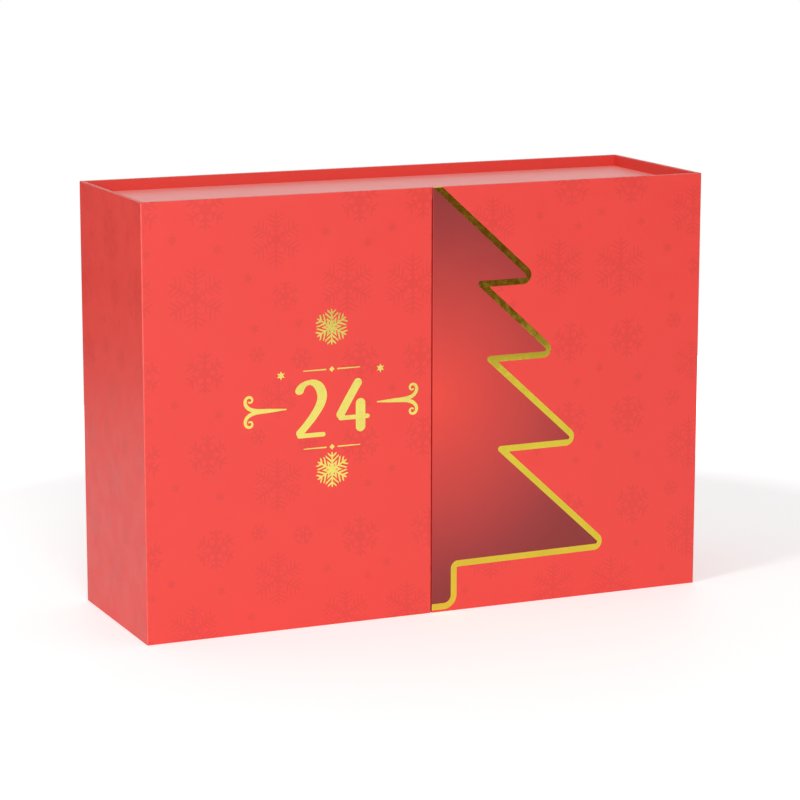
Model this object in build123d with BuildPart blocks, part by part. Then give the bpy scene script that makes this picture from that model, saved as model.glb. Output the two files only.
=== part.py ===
"""Advent calendar box: a rigid cardboard case with two front doors, round a cabinet of twenty-four drawers.

Frame: millimetres, +X to the right, +Y to the back, +Z up. The origin is at the middle of the
footprint, on the surface that the box stands on, so the doors' outer faces are at -Y.
"""

from build123d import *
import os

os.makedirs("parts", exist_ok=True)

# Case: five boards that fold round the cabinet, with mitred upright corners
case_width = 420.0
case_depth = 130.0
case_height = 300.0
case_board = 3.0
mitre_relief = 0.2
door_gap = 1.0

# Lining sheet on the inside of each door, and the free space behind it
lining_paper = 0.3
lining_margin = 3.0
door_clearance = 0.2

# Magnets in the doors, and the steel discs that they meet
magnet_diameter = 8.0
magnet_thickness = 1.5
magnet_spacing = 200.0
recess_clearance = 0.1
catch_thickness = 1.0

# Cabinet inside the case, which stands proud of it above and below
lip = 8.0
cabinet_board = 2.0

# Centre post, where the two doors meet
post_width = 26.0
strip_depth = 5.0
facing_paper = 0.3

# Shelves and uprights, which cross in half-lap slots
columns_per_door = 3
rows = 4
divider_board = 2.0
divider_setback = 6.0
slot_clearance = 0.1

# Drawers
drawer_side_clearance = 0.5
drawer_floor_clearance = 0.2
drawer_head_clearance = 0.8
drawer_setback = 1.0
drawer_back_gap = 1.0
drawer_front_board = 1.5
tray_board = 1.2
tray_headroom = 7.5

# Ribbon pull: a doubled tab that comes out of a slit and droops, with its tail glued down inside
ribbon_width = 11.0
ribbon_thickness = 0.8
ribbon_drop = 19.0
ribbon_straight = 1.5
ribbon_reach = 4.2
ribbon_hang = 9.0
ribbon_tail = 14.0
slit_clearance = 0.1

# Planes and levels that follow from the sizes above
half_width = case_width / 2
front = -case_depth / 2
back = case_depth / 2
door_inner = front + case_board
side_inner = half_width - case_board
back_inner = back - case_board
cabinet_front = door_inner + lining_paper + door_clearance
cabinet_low = lip
cabinet_high = case_height - lip
cell_half_width = side_inner - cabinet_board
cell_floor = cabinet_low + cabinet_board
cell_ceiling = cabinet_high - cabinet_board
cell_back = back_inner - cabinet_board
divider_front = cabinet_front + divider_setback
divider_depth = cell_back - divider_front
divider_middle = (divider_front + cell_back) / 2
slot_width = divider_board + 2 * slot_clearance

# Columns run outwards from the post, rows upwards from the cabinet floor. The magnets are midway
# between each door's free edge and the wall of the post.
door_cells_width = cell_half_width - post_width / 2
cell_width = (door_cells_width - (columns_per_door - 1) * divider_board) / columns_per_door
cell_height = (cell_ceiling - cell_floor - (rows - 1) * divider_board) / rows
column_pitch = cell_width + divider_board
row_pitch = cell_height + divider_board
column_middles = [post_width / 2 + cell_width / 2 + n * column_pitch for n in range(columns_per_door)]
upright_middles = [
    post_width / 2 + cell_width + divider_board / 2 + n * column_pitch for n in range(columns_per_door - 1)
]
post_wall_middle = (post_width - divider_board) / 2
shelf_middles = [cell_floor + cell_height + divider_board / 2 + n * row_pitch for n in range(rows - 1)]
strip_width = post_width - 2 * divider_board
magnet_x = (door_gap + strip_width) / 4
magnet_levels = [(case_height - magnet_spacing) / 2, (case_height + magnet_spacing) / 2]


def write(piece, name):
    """Labels a finished piece and writes its STEP file."""
    piece.label = name
    export_step(piece, f"parts/{name}.step")


def mirrored(piece):
    """The same piece for the right-hand side."""
    with BuildPart() as other:
        mirror(piece, about=Plane.YZ)
    return other.part


# Back of the case, mitred at both upright corners
with BuildPart() as case_back:
    with BuildSketch():
        with BuildLine():
            Polyline(
                (-half_width, back),
                (half_width, back),
                (side_inner, back_inner),
                (-side_inner, back_inner),
                close=True,
            )
        make_face()
    extrude(amount=case_height)
write(case_back.part, "case_back")

# Sides of the case: the front mitre leaves a narrow vee for the door's paper hinge
with BuildPart() as case_left_side:
    with BuildSketch():
        with BuildLine():
            Polyline(
                (-half_width, front),
                (-side_inner, door_inner + mitre_relief),
                (-side_inner, back_inner),
                (-half_width, back),
                close=True,
            )
        make_face()
    extrude(amount=case_height)
write(case_left_side.part, "case_left_side")
write(mirrored(case_left_side.part), "case_right_side")

# Doors: each turns about the outer corner edge of its side board
with BuildPart() as left_door_board:
    with BuildSketch():
        with BuildLine():
            Polyline(
                (-half_width, front),
                (-door_gap / 2, front),
                (-door_gap / 2, door_inner),
                (mitre_relief - side_inner, door_inner),
                close=True,
            )
        make_face()
    extrude(amount=case_height)
    with Locations(*[Plane((-magnet_x, door_inner, level), z_dir=(0, 1, 0)) for level in magnet_levels]):
        Hole(radius=magnet_diameter / 2 + recess_clearance, depth=magnet_thickness)
write(left_door_board.part, "left_door_board")
write(mirrored(left_door_board.part), "right_door_board")

# Door linings, which cover the magnets
lining_outer = side_inner - mitre_relief - lining_margin
lining_inner = door_gap / 2 + lining_margin / 2
with BuildPart() as left_door_lining:
    with BuildSketch(Plane.XZ.offset(-door_inner)):
        with Locations((-(lining_outer + lining_inner) / 2, case_height / 2)):
            Rectangle(lining_outer - lining_inner, case_height - 2 * lining_margin)
    extrude(amount=-lining_paper)
write(left_door_lining.part, "left_door_lining")
write(mirrored(left_door_lining.part), "right_door_lining")

# Door magnets, flush with the board under the lining
with BuildPart() as left_door_magnets:
    with BuildSketch(Plane.XZ.offset(-door_inner)):
        with Locations(*[(-magnet_x, level) for level in magnet_levels]):
            Circle(magnet_diameter / 2)
    extrude(amount=magnet_thickness)
write(left_door_magnets.part, "left_door_magnets")
write(mirrored(left_door_magnets.part), "right_door_magnets")

# Cabinet shell: the top and bottom run over the walls, and the back fits between all four
cabinet_depth = back_inner - cabinet_front
cabinet_middle = (back_inner + cabinet_front) / 2
for name, level in (("cabinet_bottom", cabinet_low), ("cabinet_top", cell_ceiling)):
    with BuildPart() as cabinet_cover:
        with BuildSketch(Plane.XY.offset(level)):
            with Locations((0, cabinet_middle)):
                Rectangle(2 * side_inner, cabinet_depth)
        extrude(amount=cabinet_board)
    write(cabinet_cover.part, name)

with BuildPart() as cabinet_left_wall:
    with BuildSketch(Plane.XY.offset(cell_floor)):
        with Locations((-(side_inner + cell_half_width) / 2, cabinet_middle)):
            Rectangle(cabinet_board, cabinet_depth)
    extrude(amount=cell_ceiling - cell_floor)
write(cabinet_left_wall.part, "cabinet_left_wall")
write(mirrored(cabinet_left_wall.part), "cabinet_right_wall")

with BuildPart() as cabinet_back:
    with BuildSketch(Plane.XY.offset(cell_floor)):
        with Locations((0, (cell_back + back_inner) / 2)):
            Rectangle(2 * cell_half_width, cabinet_board)
    extrude(amount=cell_ceiling - cell_floor)
write(cabinet_back.part, "cabinet_back")

# Shelves: slots from the back take the uprights, slots from the front take the post walls
upright_slots = [side * x for side in (-1, 1) for x in upright_middles]
post_slots = [side * post_wall_middle for side in (-1, 1)]
for number, level in enumerate(shelf_middles, start=1):
    with BuildPart() as shelf:
        with BuildSketch(Plane.XY.offset(level - divider_board / 2)):
            with Locations((0, divider_middle)):
                Rectangle(2 * cell_half_width, divider_depth)
            with Locations(*[(x, divider_middle) for x in upright_slots]):
                Rectangle(slot_width, divider_depth, align=(Align.CENTER, Align.MIN), mode=Mode.SUBTRACT)
            with Locations(*[(x, divider_middle) for x in post_slots]):
                Rectangle(slot_width, divider_depth, align=(Align.CENTER, Align.MAX), mode=Mode.SUBTRACT)
        extrude(amount=divider_board)
    write(shelf.part, f"shelf_{number}")

# Uprights, slotted from the front so that they cross the shelves
for name, x in (("left_outer_upright", -upright_middles[-1]), ("left_inner_upright", -upright_middles[0])):
    with BuildPart() as upright:
        with BuildSketch(Plane.YZ.offset(x - divider_board / 2)):
            with Locations((divider_middle, (cell_floor + cell_ceiling) / 2)):
                Rectangle(divider_depth, cell_ceiling - cell_floor)
            with Locations(*[(divider_middle, level) for level in shelf_middles]):
                Rectangle(divider_depth, slot_width, align=(Align.MAX, Align.CENTER), mode=Mode.SUBTRACT)
        extrude(amount=divider_board)
    write(upright.part, name)
    write(mirrored(upright.part), name.replace("left", "right"))

# Post walls reach the cabinet's front edge, so their slots are cut from the back
post_wall_depth = cell_back - cabinet_front
with BuildPart() as left_post_wall:
    with BuildSketch(Plane.YZ.offset(-post_wall_middle - divider_board / 2)):
        with Locations(((cell_back + cabinet_front) / 2, (cell_floor + cell_ceiling) / 2)):
            Rectangle(post_wall_depth, cell_ceiling - cell_floor)
        with Locations(*[(divider_middle, level) for level in shelf_middles]):
            Rectangle(divider_depth, slot_width, align=(Align.MIN, Align.CENTER), mode=Mode.SUBTRACT)
    extrude(amount=divider_board)
write(left_post_wall.part, "left_post_wall")
write(mirrored(left_post_wall.part), "right_post_wall")

# Closing strip between the post walls, with a steel disc behind each door magnet
strip_front = cabinet_front + facing_paper
with BuildPart() as post_strip:
    with BuildSketch(Plane.XY.offset(cell_floor)):
        with Locations((0, strip_front + strip_depth / 2)):
            Rectangle(strip_width, strip_depth)
    extrude(amount=cell_ceiling - cell_floor)
    catch_places = [(side * magnet_x, level) for side in (-1, 1) for level in magnet_levels]
    with Locations(*[Plane((x, strip_front, level), z_dir=(0, -1, 0)) for x, level in catch_places]):
        Hole(radius=magnet_diameter / 2 + recess_clearance, depth=catch_thickness)
write(post_strip.part, "post_strip")

with BuildPart() as catch_discs:
    with BuildSketch(Plane.XZ.offset(-strip_front)):
        with Locations(*catch_places):
            Circle(magnet_diameter / 2)
    extrude(amount=-catch_thickness)
write(catch_discs.part, "catch_discs")

with BuildPart() as post_facing:
    with BuildSketch(Plane.XZ.offset(-strip_front)):
        with Locations((0, (cell_floor + cell_ceiling) / 2)):
            Rectangle(strip_width, cell_ceiling - cell_floor)
    extrude(amount=facing_paper)
write(post_facing.part, "post_facing")

# One drawer, modelled with its origin at the middle of its front face's bottom edge
drawer_width = cell_width - 2 * drawer_side_clearance
drawer_height = cell_height - drawer_floor_clearance - drawer_head_clearance
drawer_front = divider_front + drawer_setback
tray_depth = cell_back - drawer_back_gap - drawer_front - drawer_front_board
tray_height = drawer_height - tray_headroom
slit_level = drawer_height - ribbon_drop
slit_size = (ribbon_width + 2 * slit_clearance, ribbon_thickness + 2 * slit_clearance)

with BuildPart() as drawer_panel:
    with BuildSketch(Plane.XZ):
        with Locations((0, drawer_height / 2)):
            Rectangle(drawer_width, drawer_height)
        with Locations((0, slit_level)):
            Rectangle(*slit_size, mode=Mode.SUBTRACT)
    extrude(amount=-drawer_front_board)

with BuildPart() as drawer_tray:
    with Locations((0, drawer_front_board, 0)):
        Box(drawer_width, tray_depth, tray_height, align=(Align.CENTER, Align.MIN, Align.MIN))
    offset(amount=-tray_board, openings=drawer_tray.faces().sort_by(Axis.Z)[-1])
    with Locations((0, drawer_front_board, slit_level)):
        Box(
            slit_size[0],
            tray_board,
            slit_size[1],
            align=(Align.CENTER, Align.MIN, Align.CENTER),
            mode=Mode.SUBTRACT,
        )

# The ribbon's section: up the inner face of the tray's front wall, out through the slit, then down
ribbon_under = slit_level - ribbon_thickness / 2
tail_front = drawer_front_board + tray_board
with BuildPart() as drawer_ribbon:
    with BuildSketch(Plane.YZ):
        with BuildLine():
            Polyline(
                (tail_front, ribbon_under - ribbon_tail),
                (tail_front, ribbon_under),
                (-ribbon_straight, ribbon_under),
                (-ribbon_reach, ribbon_under - ribbon_hang),
            )
            offset(amount=ribbon_thickness, side=Side.RIGHT, kind=Kind.INTERSECTION)
        make_face()
    extrude(amount=ribbon_width / 2, both=True)

# Twenty-four drawers, numbered from left to right and from the top row down
drawer_columns = sorted([-x for x in column_middles] + column_middles)
drawer_floors = [cell_floor + n * row_pitch + drawer_floor_clearance for n in reversed(range(rows))]
drawer_places = [(x, drawer_front, floor) for floor in drawer_floors for x in drawer_columns]
for number, place in enumerate(drawer_places, start=1):
    name = f"drawer_{number:02d}"
    pieces = [piece.part.moved(Location(place)) for piece in (drawer_panel, drawer_tray, drawer_ribbon)]
    write(Compound(children=pieces), name)
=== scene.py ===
"""Dressed model of an advent calendar box: a wrapped case, two doors and twenty-four drawers.

Lengths are in metres unless a field says millimetres. +X is to the right, +Y to the back and +Z
up. The doors' outer faces are at -Y and the box stands on Z = 0. Flat artwork is drawn in
millimetres in the coordinates of the panel that carries it, and then laid on that panel as a thin
closed plate.
"""

import logging
import math
from dataclasses import dataclass, field, replace
from enum import Enum
from typing import Optional, Sequence

import bmesh
import bpy
import numpy as np
from mathutils import Matrix, Vector
from mathutils.geometry import tessellate_polygon

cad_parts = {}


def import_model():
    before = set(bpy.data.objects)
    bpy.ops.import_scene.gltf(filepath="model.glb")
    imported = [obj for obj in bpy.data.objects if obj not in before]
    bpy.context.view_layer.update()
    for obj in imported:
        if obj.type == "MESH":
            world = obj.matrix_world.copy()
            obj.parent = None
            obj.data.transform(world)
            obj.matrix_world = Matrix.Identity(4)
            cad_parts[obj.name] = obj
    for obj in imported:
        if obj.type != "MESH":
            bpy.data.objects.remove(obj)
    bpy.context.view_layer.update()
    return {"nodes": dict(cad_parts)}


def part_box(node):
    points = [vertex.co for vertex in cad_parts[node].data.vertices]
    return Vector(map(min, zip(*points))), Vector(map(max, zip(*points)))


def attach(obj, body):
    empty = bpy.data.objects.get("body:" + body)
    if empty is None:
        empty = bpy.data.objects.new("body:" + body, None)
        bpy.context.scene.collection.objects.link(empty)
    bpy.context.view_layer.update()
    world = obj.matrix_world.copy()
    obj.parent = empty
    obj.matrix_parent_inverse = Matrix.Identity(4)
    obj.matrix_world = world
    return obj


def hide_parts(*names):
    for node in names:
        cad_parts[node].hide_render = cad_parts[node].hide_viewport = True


Array = np.ndarray
Pair = tuple[float, float]
Triple = tuple[float, float, float]
Material = bpy.types.Material
Socket = bpy.types.NodeSocket
Value = float | Triple | Socket

LOG = logging.getLogger("calendar_box")
MM = 0.001
X_AXIS: Triple = (1.0, 0.0, 0.0)
Y_AXIS: Triple = (0.0, 1.0, 0.0)
Z_AXIS: Triple = (0.0, 0.0, 1.0)
WHITE: Triple = (1.0, 1.0, 1.0)

# Degrees past which an edge is shaded sharp.
SHARP_ANGLE = 35.0

# Depths into a panel's soft edge, in shares of its radius, at which artwork is creased.
SOFT_STEPS = (0.04, 0.15, 0.32, 0.55, 1.0)

# Millimetres that a pen stroke climbs along its length, so that it may cross itself.
STROKE_CLIMB = 0.003

# Parts of a drawing that lie at heights of their own before those heights repeat.
STEP_TURNS = 6

# Half the angle between two arms of a snowflake.
HALF_STEP = math.pi / 6

# Points of a curve that a pen follows.
PATH_POINTS = 160

# Paleness shares of a wrapped corner's points, from its crease to the flat face: paper wear and a
# painted highlight.
FADING = (1.0, 0.8, 0.5, 0.2, 0.0)


class Body(str, Enum):
    """Moving bodies that the pieces ride on."""

    CASE = "case"
    LEFT_DOOR = "left_door"
    RIGHT_DOOR = "right_door"


class Slot(str, Enum):
    """Material slots of the record."""

    WRAP = "red_paper_board"
    LINING = "red_lining"
    CABINET = "cabinet_board"
    DIVIDER = "divider_board"
    MAGNET = "magnet"
    DISC = "steel_disc"
    DRAWER = "drawer_board"


class Side(Enum):
    """The two hands of the box, with the sign of X on each."""

    LEFT = -1
    RIGHT = 1

    @property
    def word(self) -> str:
        """The side's name in piece names."""
        return self.name.lower()

    @property
    def door(self) -> Body:
        """The door body on this side."""
        return Body.LEFT_DOOR if self is Side.LEFT else Body.RIGHT_DOOR


# Shapes as arrays.


def unit(vectors: Array) -> Array:
    """Vectors divided by their own lengths.

    Args:
        vectors: array whose last axis holds the components.

    Returns:
        An array of the same shape.
    """
    length = np.linalg.norm(vectors, axis=-1, keepdims=True)
    return vectors / np.maximum(length, 1e-12)


def bearings(angles: Array | float) -> Array:
    """Directions of length one at angles in radians, with their components on a last axis."""
    return np.stack((np.cos(angles), np.sin(angles)), axis=-1)


def arc(centre: Pair, radius: Pair | float, start: float, stop: float, count: int) -> Array:
    """Points of a circle or ellipse: the centre plus the radius times (cos a, sin a), for evenly
    spaced angles a.

    Args:
        centre: its middle.
        radius: its radius, or its two radii.
        start: first angle in degrees.
        stop: last angle in degrees.
        count: number of points, both ends included.

    Returns:
        Array of shape (count, 2).
    """
    angles = np.radians(np.linspace(start, stop, count))
    return np.asarray(centre) + np.asarray(radius) * bearings(angles)


def rounded_rectangle(width: float, height: float, radius: float, count: int = 4) -> Array:
    """Anticlockwise rectangle about zero with a quarter circle at each corner.

    Args:
        width: size across.
        height: size up.
        radius: corner radius.
        count: points on each quarter circle.

    Returns:
        Array of shape (4 * count, 2).
    """
    x, y = width / 2 - radius, height / 2 - radius
    corners = ((x, y, 0), (-x, y, 90), (-x, -y, 180), (x, -y, 270))
    return np.concatenate([arc((cx, cy), radius, a, a + 90, count) for cx, cy, a in corners])


def left_of(ways: Array) -> Array:
    """Directions in the plane, each turned by a quarter to its left."""
    return np.stack((-ways[..., 1], ways[..., 0]), axis=-1)


def lengths_along(path: Array) -> Array:
    """Length of a path from its start to each of its points."""
    return np.concatenate(([0.0], np.cumsum(np.linalg.norm(np.diff(path, axis=0), axis=-1))))


def corner_moves(before: Array, after: Array) -> Array:
    """For each corner, the move that brings both its sides to their left by one.

    With n1 and n2 the left normals of the sides before and after the corner, the move is
    (n1 + n2) / (1 + n1 . n2).

    Args:
        before: direction of the side before each corner, of shape (n, 2) and length one.
        after: the same for the side after it.

    Returns:
        Array of shape (n, 2).
    """
    first, second = left_of(before), left_of(after)
    share = 1 + np.sum(first * second, axis=-1, keepdims=True)
    return (first + second) / np.maximum(share, 0.05)


def mitres(loop: Array) -> Array:
    """Moves that bring the sides of an anticlockwise loop inwards by one, for each of its corners.

    Args:
        loop: closed loop of shape (n, 2).

    Returns:
        Array of shape (n, 2).
    """
    after = unit(np.roll(loop, -1, axis=0) - loop)
    return corner_moves(np.roll(after, 1, axis=0), after)


def filleted(corners: Array, radii: Array, count: int) -> Array:
    """Open path whose inner corners are rounded, each by an arc of the same number of points.

    At a corner with half angle h between its sides, the arc's middle lies on the bisector at
    r / sin(h) and touches the sides at r / tan(h). The arc turns evenly from touch to touch.

    Args:
        corners: path of shape (n, 2), ends included.
        radii: one radius for each of the n - 2 inner corners.
        count: points of each arc.

    Returns:
        Array of shape (2 + (n - 2) * count, 2).
    """
    spot = corners[1:-1]
    towards = unit(corners[:-2] - spot)
    onwards = unit(corners[2:] - spot)
    half = np.arccos(np.clip(np.sum(towards * onwards, axis=-1), -1, 1)) / 2
    middle = spot + unit(towards + onwards) * (radii / np.sin(half))[:, None]
    first = spot + towards * (radii / np.tan(half))[:, None] - middle
    last = spot + onwards * (radii / np.tan(half))[:, None] - middle
    turn = (np.pi - 2 * half)[:, None]
    step = np.linspace(0, 1, count)[None, :]
    weight_first = (np.sin((1 - step) * turn) / np.sin(turn))[..., None]
    weight_last = (np.sin(step * turn) / np.sin(turn))[..., None]
    arcs = middle[:, None] + weight_first * first[:, None] + weight_last * last[:, None]
    return np.concatenate((corners[:1], arcs.reshape(-1, 2), corners[-1:]))


def offset_path(path: Array, distance: float) -> Array:
    """Open path moved sideways to its left, with its corners kept sharp by their mitres.

    Args:
        path: points of shape (n, 2).
        distance: how far to the left.

    Returns:
        Array of shape (n, 2).
    """
    along = unit(np.diff(path, axis=0))
    before, after = np.concatenate((along[:1], along)), np.concatenate((along, along[-1:]))
    return path + distance * corner_moves(before, after)


def smooth_path(knots: Array, count: int) -> Array:
    """Smooth open curve through its knots, by Hermite pieces measured by the chords' lengths. The
    slope at a knot is that of the parabola through it and its neighbours.

    Args:
        knots: points of shape (n, 2).
        count: points in the whole curve.

    Returns:
        Array of shape (count, 2).
    """
    length = lengths_along(knots)
    slope = np.gradient(knots, length, axis=0)
    place = np.linspace(0, length[-1], count)
    piece = np.clip(np.searchsorted(length, place, side="right") - 1, 0, len(knots) - 2)
    span = (length[piece + 1] - length[piece])[:, None]
    t = (place - length[piece])[:, None] / span
    return (
        (2 * t**3 - 3 * t**2 + 1) * knots[piece]
        + (t**3 - 2 * t**2 + t) * span * slope[piece]
        + (3 * t**2 - 2 * t**3) * knots[piece + 1]
        + (t**3 - t**2) * span * slope[piece + 1]
    )


def lattice(rows: int, columns: int, ring: bool = True) -> Array:
    """Four-sided faces between the neighbours of a grid whose points are numbered row by row.

    Args:
        rows: number of rows.
        columns: points in a row.
        ring: whether the last column joins the first.

    Returns:
        Index array of shape (faces, 4), anticlockwise where columns run to the right and rows up.
    """
    across = np.arange(columns if ring else columns - 1)
    i, j = np.meshgrid(np.arange(rows - 1), across, indexing="ij")
    k = (j + 1) % columns
    corners = (i * columns + j, i * columns + k, (i + 1) * columns + k, (i + 1) * columns + j)
    return np.stack(corners, axis=-1).reshape(-1, 4)


def tube(rows: int, columns: int) -> tuple[Array, Array, Array]:
    """Faces of a closed tube of rings.

    Args:
        rows: number of rings.
        columns: points in a ring.

    Returns:
        The faces between the rings, and the faces that close the first ring and the last.
    """
    ring = np.arange(columns)[None]
    return lattice(rows, columns), ring[:, ::-1], ring + (rows - 1) * columns


def tessellated(loops: Sequence[Array]) -> Array:
    """Anticlockwise triangles that fill a loop, less any further loops inside it.

    Args:
        loops: the outline and then its holes, each of shape (n, 2).

    Returns:
        Index array of shape (triangles, 3) into the loops' points taken in order.
    """
    corners = [[Vector((x, y, 0)) for x, y in loop.tolist()] for loop in loops]
    faces = np.array(tessellate_polygon(corners), dtype=int).reshape(-1, 3)
    points = np.concatenate(list(loops))
    a, b, c = points[faces[:, 0]], points[faces[:, 1]], points[faces[:, 2]]
    area = (b - a)[:, 0] * (c - a)[:, 1] - (b - a)[:, 1] * (c - a)[:, 0]
    faces[area < 0] = faces[area < 0][:, ::-1]
    return faces[np.abs(area) > 1e-12]


class Shell:
    """Points and faces gathered for one mesh, with a finish number for each face."""

    def __init__(self) -> None:
        """Starts with no points."""
        self.points: list[Array] = []
        self.faces: list[list[int]] = []
        self.finishes: list[int] = []
        self.rims: list[Array] = []
        self.count = 0

    def add(self, points: Array, blocks: Sequence[Array], rim: Optional[Array] = None) -> None:
        """Adds points, and blocks of faces that number them from zero.

        Args:
            points: array that reshapes to (n, 3).
            blocks: index arrays, one for each kind of face.
            rim: paleness share for each point, 0 on the flat and 1 on an edge; on paper it stands
                for wear and a painted highlight.
        """
        points = np.asarray(points, float).reshape(-1, 3)
        for block in blocks:
            self.faces.extend((np.asarray(block) + self.count).tolist())
            self.finishes.extend([0] * len(block))
        self.points.append(points)
        self.rims.append(np.zeros(len(points)) if rim is None else np.asarray(rim, float).ravel())
        self.count += len(points)

    def mesh(self, name: str) -> bpy.types.Mesh:
        """A new mesh of what was gathered, shaded smooth but for its sharp edges.

        Args:
            name: the mesh's name.

        Returns:
            The mesh.
        """
        made = bpy.data.meshes.new(name)
        made.from_pydata(np.concatenate(self.points).tolist(), [], self.faces)
        made.polygons.foreach_set("material_index", self.finishes)
        rim = made.attributes.new("rim", "FLOAT", "POINT")
        rim.data.foreach_set("value", np.concatenate(self.rims))
        made.update()
        made.shade_smooth()
        made.set_sharp_from_angle(angle=math.radians(SHARP_ANGLE))
        return made


def add_object(name: str, data: bpy.types.ID) -> bpy.types.Object:
    """Puts a new object into the scene.

    Args:
        name: its name.
        data: its mesh, lamp or camera.

    Returns:
        The object.
    """
    made = bpy.data.objects.new(name, data)
    bpy.context.scene.collection.objects.link(made)
    return made


def add_piece(
    name: str,
    shell: Shell,
    body: str,
    finishes: Sequence[Material],
    stands_for: Sequence[str] = (),
    even: bool = False,
) -> bpy.types.Object:
    """Makes a piece of the box from its mesh, and lets it ride on a body.

    Args:
        name: piece name.
        shell: its gathered mesh, in the frame's own place.
        body: the body that it rides on.
        finishes: materials, in the order of the shell's finish numbers.
        stands_for: CAD nodes that it replaces.
        even: whether large flat faces lead the shading at soft edges.

    Returns:
        The new object.
    """
    piece = add_object(name, shell.mesh(name))
    for finish in finishes:
        piece.data.materials.append(finish)
    if even:
        shading = piece.modifiers.new("even_shading", "WEIGHTED_NORMAL")
        shading.keep_sharp = True
        shading.weight = 100
    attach(piece, body)
    if stands_for:
        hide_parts(*stands_for)
    LOG.info("%s: %d points, %d faces, rides on %s", name, shell.count, len(shell.faces), body)
    return piece


@dataclass(frozen=True)
class Panel:
    """A flat face that carries artwork, drawn in millimetres across and up.

    Attributes:
        origin: the drawing's zero, in metres.
        across: direction of the drawing's first axis.
        up: direction of its second axis. The outward side is across x up.
        low: lowest corner that artwork may reach, in millimetres.
        high: highest corner that artwork may reach.
        sheet_start: place on the wrap sheet of the drawing's zero, in millimetres.
        sheet_foot: its height on that sheet.
        soft: radius of the face's soft edges in millimetres, round which artwork bends.
    """

    origin: Triple
    across: Triple
    up: Triple
    low: Pair = (-math.inf, -math.inf)
    high: Pair = (math.inf, math.inf)
    sheet_start: float = 0.0
    sheet_foot: float = 0.0
    soft: float = 0.0

    @property
    def out(self) -> Array:
        """The outward direction."""
        return np.cross(self.across, self.up)

    def at(self, points: Array, rise: Array | float = 0.0) -> Array:
        """Places drawn points in the frame.

        Args:
            points: array of shape (..., 2), in millimetres.
            rise: height above the face, in millimetres.

        Returns:
            Array of shape (..., 3), in metres.
        """
        drawn = points[..., :1] * np.asarray(self.across) + points[..., 1:2] * np.asarray(self.up)
        lifted = np.asarray(rise)[..., None] * self.out
        return np.asarray(self.origin) + MM * (drawn + lifted)

    def fall(self, points: Array) -> Array:
        """How far the soft edge lies behind the flat face: r - sqrt(r^2 - (r - d)^2), where d is
        the distance from the panel's edge and r its radius.

        Args:
            points: drawn points of shape (n, 2).

        Returns:
            Depths of shape (n,), in millimetres.
        """
        if self.soft == 0:
            return np.zeros(len(points))
        room = np.minimum(points - np.asarray(self.low), np.asarray(self.high) - points)
        short = self.soft - np.clip(room, 0, self.soft)
        return np.sum(self.soft - np.sqrt(self.soft**2 - short**2), axis=-1)

    def touches(self, points: Array, margin: float = 0.0) -> bool:
        """Whether the box round some drawn points, widened by a margin, overlaps the panel."""
        low, high = points.min(axis=0) - margin, points.max(axis=0) + margin
        return bool(np.all(high > self.low) and np.all(low < self.high))

    def trimmed(self, points: Array, faces: Array) -> tuple[Array, Array]:
        """Cuts drawn faces off at the panel's edges, and creases them where its soft edges begin.

        Args:
            points: drawn points of shape (n, 2).
            faces: index array.

        Returns:
            The points and the triangles that are left.
        """
        inside = np.all(points.min(axis=0) >= np.asarray(self.low) + self.soft)
        if inside and np.all(points.max(axis=0) <= np.asarray(self.high) - self.soft):
            return points, faces
        flat = bpy.data.meshes.new("artwork")
        flat.from_pydata(np.pad(points, ((0, 0), (0, 1))).tolist(), [], faces.tolist())
        work = bmesh.new()
        work.from_mesh(flat)
        for number, end in enumerate((*self.low, *self.high)):
            axis, sign = number % 2, -1 if number < 2 else 1
            steps = SOFT_STEPS if self.soft else (0.0,)
            for depth in steps:
                spot, normal = [0.0, 0.0, 0.0], [0.0, 0.0, 0.0]
                spot[axis] = end - sign * depth * self.soft
                normal[axis] = sign
                bmesh.ops.bisect_plane(
                    work,
                    geom=[*work.verts, *work.edges, *work.faces],
                    dist=1e-6,
                    plane_co=spot,
                    plane_no=normal,
                    clear_outer=depth == steps[0],
                )
        bmesh.ops.dissolve_degenerate(work, dist=1e-4, edges=work.edges[:])
        bmesh.ops.triangulate(work, faces=work.faces[:])
        work.to_mesh(flat)
        work.free()
        kept = np.empty(len(flat.vertices) * 3)
        flat.vertices.foreach_get("co", kept)
        corners = np.empty(len(flat.polygons) * 3, dtype=np.int32)
        flat.loops.foreach_get("vertex_index", corners)
        bpy.data.meshes.remove(flat)
        return kept.reshape(-1, 3)[:, :2], corners.reshape(-1, 3)


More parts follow.
